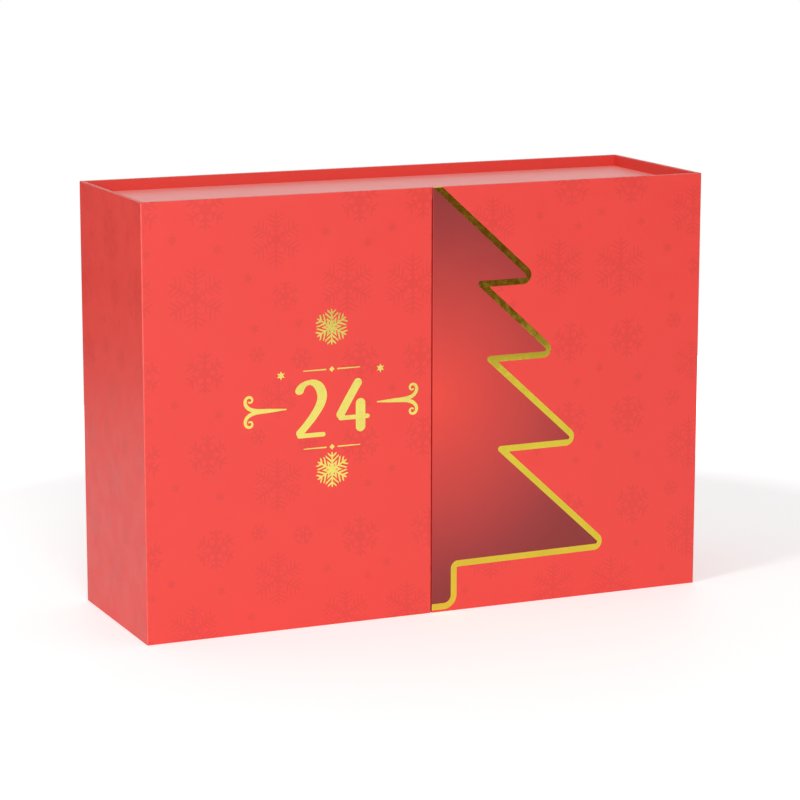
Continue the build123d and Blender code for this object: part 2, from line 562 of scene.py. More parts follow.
class Drawing:
    """Flat shapes gathered for one plate of ink or foil, in a panel's coordinates."""

    def __init__(self) -> None:
        """Starts empty."""
        self.parts: list[tuple[Array, Array, Array]] = []

    def fill(self, outline: Array, holes: Sequence[Array] = ()) -> None:
        """Adds the area inside an anticlockwise outline, less its holes.

        Args:
            outline: points of shape (n, 2).
            holes: further loops inside it.
        """
        loops = [outline, *holes]
        points = np.concatenate(loops)
        self.parts.append((points, tessellated(loops), np.zeros(len(points))))

    def strip(self, left: Array, right: Array, climb: float = 0.0) -> None:
        """Adds the band between two paths with the same number of points.

        Args:
            left: the path on the left, seen along the band.
            right: the path on the right.
            climb: rise from the band's start to its end in millimetres, so that a band which
                crosses itself lies over its own start.
        """
        faces = lattice(2, len(left), ring=False)
        lift = np.tile(np.linspace(-climb, 0, len(left)), 2)
        triangles = np.concatenate((faces[:, [0, 1, 2]], faces[:, [0, 2, 3]]))
        self.parts.append((np.concatenate((right, left)), triangles, lift))

    def stroke(self, path: Array, widths: Array | float, count: int = 48) -> None:
        """Adds a pen stroke with round ends along a path.

        The path is measured by its length. Near each end, at a distance d under half the width, the
        half width is sqrt(r^2 - (r - d)^2), so that the end is a half circle.

        Args:
            path: points of shape (n, 2).
            widths: the pen's width, or one for each point of the path.
            count: points along the stroke between its ends.
        """
        length = lengths_along(path)
        widths = np.broadcast_to(widths, length.shape)
        # The first angle isn't zero, so that the stroke starts with a short edge, not a point.
        cap = 1 - np.cos(np.linspace(0.12, np.pi / 2, 7))
        first, last = widths[0] / 2 * cap, length[-1] - widths[-1] / 2 * cap[::-1]
        place = np.concatenate((first, np.linspace(first[-1], last[0], count)[1:-1], last))
        spine = np.stack([np.interp(place, length, path[:, axis]) for axis in (0, 1)], axis=-1)
        half = np.interp(place, length, widths) / 2
        room = np.minimum(np.minimum(place, length[-1] - place), half)
        half = np.sqrt(np.maximum(half**2 - (half - room) ** 2, 1e-9))
        side = left_of(unit(np.gradient(spine, axis=0))) * half[:, None]
        self.strip(spine + side, spine - side, STROKE_CLIMB)

    def plates(self, panel: Panel, base: float, top: float, step: float = 0.0) -> Shell:
        """Lays the drawing on a panel as thin closed plates.

        Each part is moved out to its top, turned over at its base, and walled along every edge that
        only one of its faces uses.

        Args:
            panel: the face that carries it.
            base: height of the plates' undersides above the face, in millimetres.
            top: height of the highest upper side.
            step: how much lower the part before is, within each turn of the steps, so that no
                two upper sides that cross coincide.

        Returns:
            The plates in one shell.
        """
        shell = Shell()
        for number, (drawn, drawn_faces, lift) in enumerate(self.parts):
            if not panel.touches(drawn):
                continue
            points, faces = panel.trimmed(drawn, drawn_faces)
            if not len(faces):
                continue
            fall = panel.fall(points)
            total = len(points)
            turns = STEP_TURNS - 1 - number % STEP_TURNS
            rise = lift - turns * step if points is drawn else np.zeros(total)
            upper = panel.at(points, top + rise - fall)
            lower = panel.at(points, base - fall)
            edges = np.concatenate((faces[:, [0, 1]], faces[:, [1, 2]], faces[:, [2, 0]]))
            code = edges[:, 0] * total + edges[:, 1]
            lone = edges[~np.isin(code, edges[:, 1] * total + edges[:, 0])]
            walls = np.concatenate((lone[:, ::-1], lone + total), axis=-1)
            shell.add(np.concatenate((upper, lower)), (faces, faces[:, ::-1] + total, walls))
        return shell


# Finishes.


class Tree:
    """A node tree, with short calls for the nodes that the finishes and the room share."""

    def __init__(self, tree: bpy.types.NodeTree) -> None:
        """Takes a tree.

        Args:
            tree: the tree that the calls add to.
        """
        self.tree = tree

    def node(self, kind: str, **settings: object) -> bpy.types.Node:
        """Adds a node and sets its own settings.

        Args:
            kind: the node's type.
            settings: its settings by name.

        Returns:
            The node.
        """
        made = self.tree.nodes.new(kind)
        for key, value in settings.items():
            setattr(made, key, value)
        return made

    def feed(self, node: bpy.types.Node, *ordered: Value, **named: Value) -> bpy.types.Node:
        """Gives a node's inputs their numbers, colours or links.

        Args:
            node: the node.
            ordered: values for its inputs from the first on.
            named: values for inputs by their names, with underscores for spaces.

        Returns:
            The node.
        """
        wanted = [(node.inputs[key.replace("_", " ")], value) for key, value in named.items()]
        for socket, value in (*zip(node.inputs, ordered), *wanted):
            if isinstance(value, Socket):
                self.tree.links.new(value, socket)
            else:
                socket.default_value = (*value, 1.0) if socket.type == "RGBA" else value
        return node

    def mix(self, kind: str, share: Socket, first: Value, second: Value) -> Socket:
        """Value between two others.

        Args:
            kind: RGBA for colours or FLOAT for numbers.
            share: weight of the second.
            first: value at 0.
            second: value at 1.

        Returns:
            The mixed value.
        """
        made = self.node("ShaderNodeMix", data_type=kind)
        return self.feed(made, Factor=share, A=first, B=second).outputs["Result"]

    def spread(self, value: Socket, low: float, high: float, ends: Pair = (0.3, 0.7)) -> Socket:
        """Maps the middle part of a value to a range.

        Args:
            value: the value to map.
            low: result at its low end.
            high: result at its high end.
            ends: the two ends.

        Returns:
            The mapped value.
        """
        made = self.node("ShaderNodeMapRange")
        self.feed(made, Value=value, From_Min=ends[0], From_Max=ends[1], To_Min=low, To_Max=high)
        return made.outputs["Result"]


class Nodes(Tree):
    """A new material's node tree."""

    def __init__(self, name: str) -> None:
        """Makes the material.

        Args:
            name: its name.
        """
        self.material = bpy.data.materials.new(name)
        self.material.use_nodes = True
        super().__init__(self.material.node_tree)
        self.shader = self.tree.nodes["Principled BSDF"]
        self.place = self.node("ShaderNodeTexCoord").outputs["Object"]

    def set(self, **values: Value) -> None:
        """Gives the shader's inputs their values, named with underscores for spaces."""
        self.feed(self.shader, **values)

    def worn(self) -> Socket:
        """The edge share that the mesh carries, 0 on the flat and 1 on an edge: on paper, wear and
        a painted highlight; on a ribbon, its woven edge.
        """
        return self.node("ShaderNodeAttribute", attribute_name="rim").outputs["Fac"]

    def noise(
        self,
        scale: float,
        detail: float = 2.0,
        stretch: Optional[Triple] = None,
        rough: float = 0.5,
    ) -> Socket:
        """Noise over Object coordinates.

        Args:
            scale: cells in a metre.
            detail: octaves.
            stretch: scale along each axis, where the noise is drawn out.
            rough: weight of the finer octaves.

        Returns:
            The value from 0 to 1.
        """
        made, source = self.node("ShaderNodeTexNoise"), self.place
        if stretch is not None:
            turned = self.node("ShaderNodeMapping")
            source = self.feed(turned, Vector=self.place, Scale=stretch).outputs["Vector"]
        self.feed(made, Vector=source, Scale=scale, Detail=detail, Roughness=rough)
        return made.outputs["Fac"]

    def clouded(self, share: Socket, colour: Triple, low: float, high: float) -> Socket:
        """A colour that strays with a value from 0 to 1.

        Args:
            share: the value.
            colour: the colour.
            low: share of the colour at the value's low end.
            high: share of it at the high end.

        Returns:
            The colour.
        """
        return self.mix("RGBA", self.spread(share, 0, 1), scaled(colour, low), scaled(colour, high))

    def bump(self, *heights: tuple[Socket, float]) -> None:
        """Chains bumps into the shader's normal.

        Args:
            heights: pairs of a height from 0 to 1 and its depth in millimetres.
        """
        before: dict[str, Socket] = {}
        for height, depth in heights:
            made = self.node("ShaderNodeBump")
            self.feed(made, Strength=1.0, Distance=depth * MM, Height=height, **before)
            before = {"Normal": made.outputs["Normal"]}
        self.set(**before)


def scaled(colour: Triple, share: float) -> Triple:
    """A colour with each part multiplied by a share and kept under 1."""
    return tuple(min(1.0, part * share) for part in colour)


@dataclass(frozen=True)
class Finish:
    """Something that surfaces are made of.

    Attributes:
        name: material name.
    """

    name: str

    def fill(self, nodes: Nodes) -> None:
        """Adds the finish's own nodes to a new material.

        Args:
            nodes: the new material's nodes.
        """
        raise NotImplementedError

    def material(self) -> Material:
        """Builds the material."""
        nodes = Nodes(self.name)
        self.fill(nodes)
        return nodes.material


@dataclass(frozen=True)
class PaperFinish(Finish):
    """Printed wrap paper with a matte film: an even colour with faint clouds, a fine tooth, and
    paler edges, partly wear where the paper is stretched round the board and partly a painted
    highlight.

    Attributes:
        colour: linear colour.
        roughness: mean roughness.
        clouds: how far the colour strays.
        tooth: depth of the grain in millimetres.
        wear: how far the edges turn pale, partly paper wear and partly a painted highlight.
        fibre: linear colour of those pale edges, worn fibre and painted highlight in one.
        film: weight of a clear film over the ink.
        sheen: weight of the film's sheen at a low angle, as a share of the film's own.
    """

    colour: Triple
    roughness: float = 0.43
    clouds: float = 0.012
    tooth: float = 0.012
    wear: float = 0.3
    fibre: Triple = (0.92, 0.40, 0.33)
    film: float = 0.0
    sheen: float = 0.36

    def fill(self, nodes: Nodes) -> None:
        """Adds the paper, its paler edges, which are wear and a painted highlight, and its film.

        Args:
            nodes: the new material's nodes.
        """
        nodes.set(Coat_Weight=self.film, Coat_Roughness=0.46)
        nodes.set(Sheen_Weight=self.film * self.sheen, Sheen_Roughness=0.6)
        base = nodes.clouded(nodes.noise(16.0, 3.0), self.colour, 1 - self.clouds, 1 + self.clouds)
        # Paler edges: paper wear where the sheet is stretched, and a painted highlight where the
        # soft edges would catch the light.
        edges = nodes.node("ShaderNodeMath", operation="MULTIPLY")
        nodes.feed(edges, nodes.worn(), nodes.spread(nodes.noise(240.0, 4.0), 0.1, self.wear))
        nodes.set(Base_Color=nodes.mix("RGBA", edges.outputs[0], base, self.fibre))
        low, high = self.roughness - 0.04, self.roughness + 0.04
        nodes.set(Roughness=nodes.spread(nodes.noise(70.0, 3.0), low, high))
        nodes.bump(
            (nodes.noise(1500.0, 4.0, rough=0.6), self.tooth),
            (nodes.noise(420.0, 2.0, stretch=(1.0, 1.0, 0.35)), self.tooth * 1.2),
        )


@dataclass(frozen=True)
class BoardFinish(Finish):
    """Uncoated board: a soft matte face with fibre specks and a faint lengthwise grain.

    Attributes:
        colour: linear colour of the face.
        speck: linear colour of the darker fibres.
        grain: scale of the grain along each axis.
    """

    colour: Triple
    speck: Triple
    grain: Triple = (1.0, 1.0, 0.2)

    def fill(self, nodes: Nodes) -> None:
        """Adds the board, its fibres and its grain.

        Args:
            nodes: the new material's nodes.
        """
        base = nodes.clouded(nodes.noise(30.0, 4.0), self.colour, 0.96, 1.03)
        fibres = nodes.noise(900.0, 2.0, stretch=self.grain)
        specks = nodes.spread(fibres, 0.0, 0.55, (0.62, 0.75))
        nodes.set(
            Base_Color=nodes.mix("RGBA", specks, base, self.speck),
            Roughness=nodes.spread(nodes.noise(200.0), 0.78, 0.9),
        )
        nodes.bump(
            (nodes.noise(1100.0, 4.0, rough=0.65), 0.03),
            (nodes.noise(260.0, 2.0, stretch=self.grain), 0.03),
        )


@dataclass(frozen=True)
class FoilFinish(Finish):
    """Hot-stamped metal foil: bright, slightly hammered by the paper's tooth underneath.

    Attributes:
        colour: linear colour of its reflection.
        roughness: mean roughness.
        tooth: depth of the fine grain in millimetres.
        swell: depth of the broad waves in millimetres.
    """

    colour: Triple
    roughness: float = 0.16
    tooth: float = 0.004
    swell: float = 0.006

    def fill(self, nodes: Nodes) -> None:
        """Adds the metal and its unevenness.

        Args:
            nodes: the new material's nodes.
        """
        tint = nodes.clouded(nodes.noise(45.0, 3.0), self.colour, 0.95, 1.04)
        low, high = self.roughness - 0.03, self.roughness + 0.05
        even = nodes.spread(nodes.noise(300.0, 3.0), low, high)
        nodes.set(Metallic=1.0, Base_Color=tint, Roughness=even)
        nodes.bump((nodes.noise(1800.0, 3.0), self.tooth), (nodes.noise(120.0, 2.0), self.swell))


@dataclass(frozen=True)
class GlowFinish(Finish):
    """Ink that darkens evenly away from a bright middle, under the same matte film as the paper.

    Attributes:
        middle: the bright place, in metres.
        reach: distance in metres at which the last colour stands.
        colours: pairs of a share of the reach and the linear colour there.
    """

    middle: Triple
    reach: float
    colours: tuple[tuple[float, Triple], ...]

    def fill(self, nodes: Nodes) -> None:
        """Adds the colours by their distance from the middle.

        Args:
            nodes: the new material's nodes.
        """
        away = nodes.node("ShaderNodeVectorMath", operation="DISTANCE")
        nodes.feed(away, nodes.place, self.middle)
        share = nodes.spread(away.outputs["Value"], 0, 1, (0.0, self.reach))
        ramp = nodes.feed(nodes.node("ShaderNodeValToRGB"), share)
        stops = ramp.color_ramp.elements
        while len(stops) < len(self.colours):
            stops.new(0.5)
        for stop, (place, colour) in zip(stops, self.colours):
            stop.position = place
            stop.color = (*colour, 1.0)
        even = nodes.spread(nodes.noise(70.0, 3.0), 0.36, 0.44)
        nodes.set(Base_Color=ramp.outputs["Color"], Roughness=even)
        nodes.bump((nodes.noise(1500.0, 4.0, rough=0.6), 0.01))


@dataclass(frozen=True)
class SatinFinish(Finish):
    """Woven ribbon: a soft sheen, fine ribs from edge to edge and paler woven edges.

    Attributes:
        colour: linear colour of the thread.
        edge: linear colour of the two woven edges.
        rib: width of one rib in millimetres.
    """

    colour: Triple
    edge: Triple
    rib: float = 0.55

    def fill(self, nodes: Nodes) -> None:
        """Adds the ribs and the threads.

        Args:
            nodes: the new material's nodes.
        """
        nodes.set(Sheen_Weight=0.2, Sheen_Roughness=0.3, Sheen_Tint=(1.0, 0.8, 0.45))
        ribs = nodes.node("ShaderNodeTexWave", bands_direction="DIAGONAL", wave_profile="SIN")
        turned = nodes.node("ShaderNodeVectorMath", operation="MULTIPLY")
        nodes.feed(turned, nodes.place, (0.0, 1.0, 1.0))
        waves = 2 * math.pi / (10 * self.rib * MM)
        wave = nodes.feed(ribs, Vector=turned.outputs["Vector"], Scale=waves).outputs["Fac"]
        threads = nodes.noise(2400.0, 2.0, stretch=(0.08, 1.0, 1.0))
        rim = nodes.worn()
        tint = nodes.mix("RGBA", wave, scaled(self.colour, 0.6), self.colour)
        tint = nodes.mix("RGBA", nodes.spread(threads, 0, 0.35), tint, scaled(self.colour, 1.3))
        tint = nodes.mix("RGBA", rim, tint, self.edge)
        nodes.set(Base_Color=tint, Roughness=nodes.spread(threads, 0.28, 0.44))
        nodes.bump((wave, 0.05), (threads, 0.02))


@dataclass(frozen=True)
class MetalFinish(Finish):
    """Plain metal of a magnet or a steel disc, with fine scratches.

    Attributes:
        colour: linear colour.
        roughness: mean roughness.
        stretch: how the scratches are drawn out along each axis.
    """

    colour: Triple
    roughness: float
    stretch: Triple = (1.0, 1.0, 14.0)

    def fill(self, nodes: Nodes) -> None:
        """Adds the metal and its scratches.

        Args:
            nodes: the new material's nodes.
        """
        scratches = nodes.noise(800.0, 3.0, stretch=self.stretch)
        nodes.set(
            Metallic=1.0,
            Base_Color=nodes.clouded(scratches, self.colour, 0.9, 1),
            Roughness=nodes.spread(scratches, self.roughness - 0.06, self.roughness + 0.08),
        )
        nodes.bump((scratches, 0.004))


def built(kind: type[Finish], *values: object, **named: object) -> Material:
    """Field that holds the material of a finish, built when its dataclass is made.

    Args:
        kind: class of the finish.
        values: the finish's name and its further values.
        named: values of the finish by name.

    Returns:
        The field.
    """
    return field(default_factory=kind(*values, **named).material)


@dataclass(frozen=True)
class Finishes:
    """Every material of the box, made once."""

    wrap: Material = built(PaperFinish, "wrap_paper", (0.79, 0.052, 0.04))
    # A deeper red than the wrap: painted shade on the case's inner faces, which lie in the recess.
    inner: Material = built(PaperFinish, "inner_paper", (0.64, 0.036, 0.022), 0.6)
    ink: Material = built(PaperFinish, "frost_ink", (0.725, 0.048, 0.038), 0.4, wear=0.1)
    lining: Material = built(PaperFinish, "lining_paper", (0.74, 0.042, 0.034), 0.5)
    lining_ink: Material = built(PaperFinish, "lining_ink", (0.67, 0.038, 0.031), 0.46, wear=0.1)
    cabinet: Material = built(PaperFinish, "cabinet_paper", (0.82, 0.043, 0.014), 0.5, film=0.6)
    divider: Material = built(
        BoardFinish, "divider_board", (0.74, 0.67, 0.56), (0.42, 0.34, 0.25)
    )
    tray: Material = built(
        BoardFinish, "tray_board", (0.72, 0.67, 0.58), (0.45, 0.39, 0.31), (1.0, 0.2, 1.0)
    )
    foil: Material = built(FoilFinish, "gold_foil", (1.0, 0.86, 0.19))
    tree_foil: Material = built(FoilFinish, "tree_foil", (0.81, 0.65, 0.062), 0.12, swell=0.002)
    glow: Material = built(
        GlowFinish,
        "tree_ink",
        (0.0, -0.065, 0.154),
        0.16,
        (
            (0.0, (0.78, 0.056, 0.0365)),
            (0.25, (0.63, 0.046, 0.035)),
            (0.5, (0.47, 0.037, 0.031)),
            (0.75, (0.305, 0.0254, 0.025)),
            (0.875, (0.246, 0.0206, 0.02)),
            (1.0, (0.225, 0.0195, 0.017)),
        ),
    )
    satin: Material = built(SatinFinish, "satin_ribbon", (0.62, 0.33, 0.05), (0.8, 0.55, 0.16))
    nickel: Material = built(MetalFinish, "nickel", (0.72, 0.71, 0.69), 0.25)
    steel: Material = built(MetalFinish, "plain_steel", (0.55, 0.55, 0.56), 0.38)


# Ornaments.


@dataclass(frozen=True)
class Branch:
    """A pair of branches on a snowflake's arm, in shares of the arm's length.

    Attributes:
        at: where the pair leaves the arm.
        length: how long each branch is.
        width: how wide it is.
    """

    at: float
    length: float
    width: float = 0.07


@dataclass(frozen=True)
class FlakeDesign:
    """Outline of a six-armed snowflake, in shares of its radius.

    Attributes:
        core: radius of the six-sided middle.
        stem: half width of each arm.
        branches: pairs of branches, from the middle outwards.
        slope: angle of the branches from their arm, in degrees.
        waist: where the middle meets the arms, if it is a star with its points between them.
    """

    core: float
    stem: float
    branches: tuple[Branch, ...]
    slope: float = 60.0
    waist: float = 0.0

    def outline(self) -> Array:
        """One anticlockwise outline. The upper side of an arm along X is listed outwards, its
        mirror image gives the lower side, and the arm is turned by six steps of sixty degrees.

        Returns:
            Array of shape (n, 2) with its tips at radius 1.
        """
        lean = np.radians(self.slope)
        way = bearings(lean)
        # Without a waist, the arm starts where it leaves the six-sided middle.
        side_on = max(self.core * math.cos(HALF_STEP), self.stem / math.tan(HALF_STEP) + 0.01)
        root = self.waist or side_on
        upper = [(root, self.stem)]
        for branch in self.branches:
            near = np.array((branch.at, self.stem))
            far = near + branch.length * way
            wide = np.array((branch.width / math.sin(lean), 0.0))
            upper += [near, far, far + wide * 0.72 + way * 0.02, near + wide]
        upper.append((1 - 1.3 * self.stem, self.stem))
        side = np.array(upper)
        notch = self.core * np.array(((math.cos(HALF_STEP), -math.sin(HALF_STEP)),))
        arm = np.concatenate((notch, side * (1, -1), ((1.0, 0.0),), side[::-1]))
        first = bearings(-np.radians(60.0 * np.arange(6)))
        turned = np.einsum("kij,nj->kni", np.stack((first, left_of(first)), axis=1), arm)
        return turned.reshape(-1, 2)

    def slits(self) -> list[Array]:
        """Six pointed slits in a star-shaped middle, one behind each of its points.

        Returns:
            Their outlines, or none where the middle isn't a star.
        """
        if not self.waist:
            return []
        along = np.array((0.3, 0.44, 0.62, 0.44)) * self.core
        aside = np.array((0.0, 0.055, 0.0, -0.055)) * self.core
        way = bearings(np.radians(30.0 + 60.0 * np.arange(6)))[:, None]
        return list(along[:, None] * way + aside[:, None] * left_of(way))


class Flake(Enum):
    """The snowflakes of the print, from the largest to the smallest, and the gold one."""

    FERN = FlakeDesign(
        0.19,
        0.042,
        (Branch(0.24, 0.12), Branch(0.39, 0.27), Branch(0.55, 0.36), Branch(0.72, 0.26)),
    )
    STAR = FlakeDesign(0.3, 0.065, (Branch(0.4, 0.24, 0.13), Branch(0.66, 0.3, 0.13)))
    BUD = FlakeDesign(0.34, 0.1, (Branch(0.5, 0.26, 0.19),))
    SEED = FlakeDesign(0.5, 0.2, ())
    GILT = FlakeDesign(0.6, 0.042, (Branch(0.4, 0.46, 0.1), Branch(0.67, 0.28, 0.1)), 47.0, 0.31)

    def stamp(self, drawing: Drawing, middle: Pair, size: float, turn: float = 90.0) -> None:
        """Adds the flake to a drawing.

        Args:
            drawing: the drawing.
            middle: place of its middle, in millimetres.
            size: distance between opposite tips.
            turn: direction of one arm, in degrees.
        """
        way = bearings(math.radians(turn))
        spin = np.array((way, left_of(way)))
        shapes = (self.value.outline(), *self.value.slits())
        loops = [loop @ spin * (size / 2) + middle for loop in shapes]
        drawing.fill(loops[0], loops[1:])


@dataclass(frozen=True)
class FrostPrint:
    """Tone-on-tone snowflakes that repeat across the wrap sheet.

    Attributes:
        repeat: width of one repeat in millimetres.
        ferns: place across and up and size of each large flake in a repeat.
        stars: the same for the middle-sized flakes.
        buds: the same for the small ones.
        seeds: place across and up of each of the smallest.
        seed_size: their size.
        reach: repeats to each side of the sheet's middle that may reach a panel.
        base: height of the ink's underside above the paper, in millimetres.
        top: height of its upper side.
    """

    repeat: float = 158.0
    ferns: tuple[Triple, ...] = (
        (-115.0, 270.7, 38.0), (-172.7, 234.3, 43.0), (-63.3, 236.7, 41.0),
        (-115.0, 102.7, 38.0), (-115.0, 36.7, 38.0), (-176.7, 6.5, 37.0), (-65.0, 6.5, 37.0),
        (-114.0, 163.0, 30.0),
    )
    stars: tuple[Triple, ...] = (
        (-165.0, 293.3, 29.0), (-54.0, 293.3, 29.0), (-166.7, 183.3, 29.0),
        (-54.0, 183.3, 29.0), (-165.0, 127.3, 29.0), (-54.0, 126.7, 29.0), (-160.0, 61.7, 29.0),
        (-54.0, 60.7, 29.0), (-108.3, 231.7, 21.0),
    )
    buds: tuple[Triple, ...] = (
        (-96.7, 188.3, 17.0), (-129.0, 193.3, 13.0), (-129.0, 136.7, 13.0),
        (-129.0, 70.7, 13.0), (-96.7, 65.7, 16.0), (-93.0, 130.0, 16.0),
    )
    seeds: tuple[Pair, ...] = (
        (-188.3, 274.3), (-156.7, 266.0), (-79.0, 274.3), (-48.3, 265.0), (-135.0, 245.7),
        (-131.0, 211.0), (-99.0, 212.7), (-188.3, 163.3), (-156.7, 154.3), (-48.3, 154.3),
        (-188.3, 106.7), (-156.7, 98.0), (-79.0, 106.7), (-48.3, 98.0), (-192.3, 40.7),
        (-156.7, 32.3), (-79.0, 40.7), (-48.3, 32.3), (-135.0, 11.7),
    )
    seed_size: float = 7.5
    reach: int = 6
    base: float = -0.02
    top: float = 0.008

    def drawn(self, panel: Panel) -> Drawing:
        """Draws every flake of the sheet that reaches a panel.

        Args:
            panel: the face to print.

        Returns:
            The drawing.
        """
        drawing = Drawing()
        kinds = {
            Flake.FERN: self.ferns,
            Flake.STAR: self.stars,
            Flake.BUD: self.buds,
            Flake.SEED: [(*spot, self.seed_size) for spot in self.seeds],
        }
        flakes = [(kind, *row) for kind, rows in kinds.items() for row in rows]
        for kind, across, up, size in flakes:
            for number in range(-self.reach, self.reach + 1):
                start = across + number * self.repeat - panel.sheet_start
                spot = (start, up - panel.sheet_foot)
                if panel.touches(np.array((spot,)), size / 2):
                    kind.stamp(drawing, spot, size, 60.0 if kind is Flake.BUD else 90.0)
        return drawing

    def dress(self, name: str, panel: Panel, body: str, ink: Material, slot: Slot) -> None:
        """Prints a panel.

        Args:
            name: piece name.
            panel: the face to print.
            body: the body that it rides on.
            ink: the ink's finish.
            slot: the record's slot of the paper under it; not used.
        """
        shell = self.drawn(panel).plates(panel, self.base, self.top)
        add_piece(name, shell, body, (ink,), even=panel.soft > 0)


@dataclass(frozen=True)
class Numerals:
    """Plain numerals written with a broad nib.

    A stroke is a row of knots. A knot of two numbers is a point, and one of six is an arc of an
    ellipse: its middle, its two radii, and its first and last angle in degrees.

    Attributes:
        glyphs: for each digit, its strokes in shares of the height.
        nib: angle of the nib in degrees, along which a stroke is thinnest.
        thin: width of the thinnest stroke as a share of the widest.
        advance: space from one digit to the next, in shares of the height.
        breadth: width of a digit, in shares of the height.
        arc_knots: knots that stand for an arc.
        blur: points of a stroke over which its width is evened out.
    """

    glyphs: tuple[tuple[tuple[tuple[float, ...], ...], ...], ...] = (
        (((0.32, 0.5, 0.25, 0.46, -10, 372),),),
        (((0.13, 0.78), (0.25, 0.85), (0.35, 0.96)), ((0.35, 0.96), (0.35, 0.04))),
        (
            ((0.31, 0.71, 0.22, 0.25, 168, -24), (0.39, 0.4), (0.23, 0.21), (0.07, 0.05)),
            ((0.07, 0.045), (0.59, 0.045)),
        ),
        (((0.3, 0.745, 0.19, 0.215, 158, -92),), ((0.3, 0.285, 0.25, 0.245, 94, -148),)),
        (
            ((0.45, 0.96), (0.25, 0.64), (0.05, 0.3)),
            ((0.05, 0.3), (0.63, 0.3)),
            ((0.46, 0.62), (0.46, 0.04)),
        ),
        (
            ((0.53, 0.955), (0.16, 0.955)),
            ((0.16, 0.955), (0.12, 0.56)),
            ((0.12, 0.56), (0.3, 0.315, 0.25, 0.275, 112, -146)),
        ),
        (
            ((0.5, 0.955), (0.28, 0.8), (0.13, 0.56), (0.07, 0.32)),
            ((0.32, 0.3, 0.25, 0.26, -10, 375),),
        ),
        (((0.06, 0.955), (0.58, 0.955)), ((0.58, 0.955), (0.38, 0.5), (0.25, 0.04))),
        (((0.32, 0.745, 0.19, 0.215, -10, 375),), ((0.32, 0.285, 0.25, 0.245, -10, 375),)),
        (
            ((0.32, 0.7, 0.25, 0.26, 170, 555),),
            ((0.57, 0.68), (0.51, 0.44), (0.36, 0.2), (0.14, 0.045)),
        ),
    )
    nib: float = 10.0
    thin: float = 0.32
    advance: float = 0.78
    breadth: float = 0.64
    arc_knots: int = 25
    blur: int = 19

    def path(self, stroke: tuple[tuple[float, ...], ...], height: float) -> Array:
        """The middle line of a stroke.

        Args:
            stroke: its knots.
            height: height of the digit.

        Returns:
            Array of shape (n, 2).
        """
        rows = [
            arc(knot[:2], knot[2:4], *knot[4:], self.arc_knots) if knot[2:] else np.array((knot,))
            for knot in stroke
        ]
        return smooth_path(np.concatenate(rows) * height, PATH_POINTS)

    def write(self, drawing: Drawing, number: int, middle: Pair, height: float, pen: float) -> None:
        """Writes a number about a place.

        The width at a point of a stroke is the pen's, from its thin share where the stroke runs
        along the nib to its whole where it runs across.

        Args:
            drawing: the drawing that takes the strokes.
            number: the number.
            middle: middle of the whole number, in millimetres.
            height: height of the digits.
            pen: widest stroke.
        """
        digits = [int(sign) for sign in str(number)]
        start = middle[0] - ((len(digits) - 1) * self.advance + self.breadth) * height / 2
        for place, digit in enumerate(digits):
            for stroke in self.glyphs[digit]:
                path = self.path(stroke, height)
                path += (start + place * self.advance * height, middle[1] - height / 2)
                along = unit(np.gradient(path, axis=0))
                angle = np.arctan2(along[:, 1], along[:, 0]) - math.radians(self.nib)
                widths = pen * (self.thin + (1 - self.thin) * np.abs(np.sin(angle)))
                widths = np.pad(widths, self.blur // 2, mode="edge")
                widths = np.convolve(widths, np.full(self.blur, 1 / self.blur), mode="valid")
                drawing.stroke(path, widths, 60)


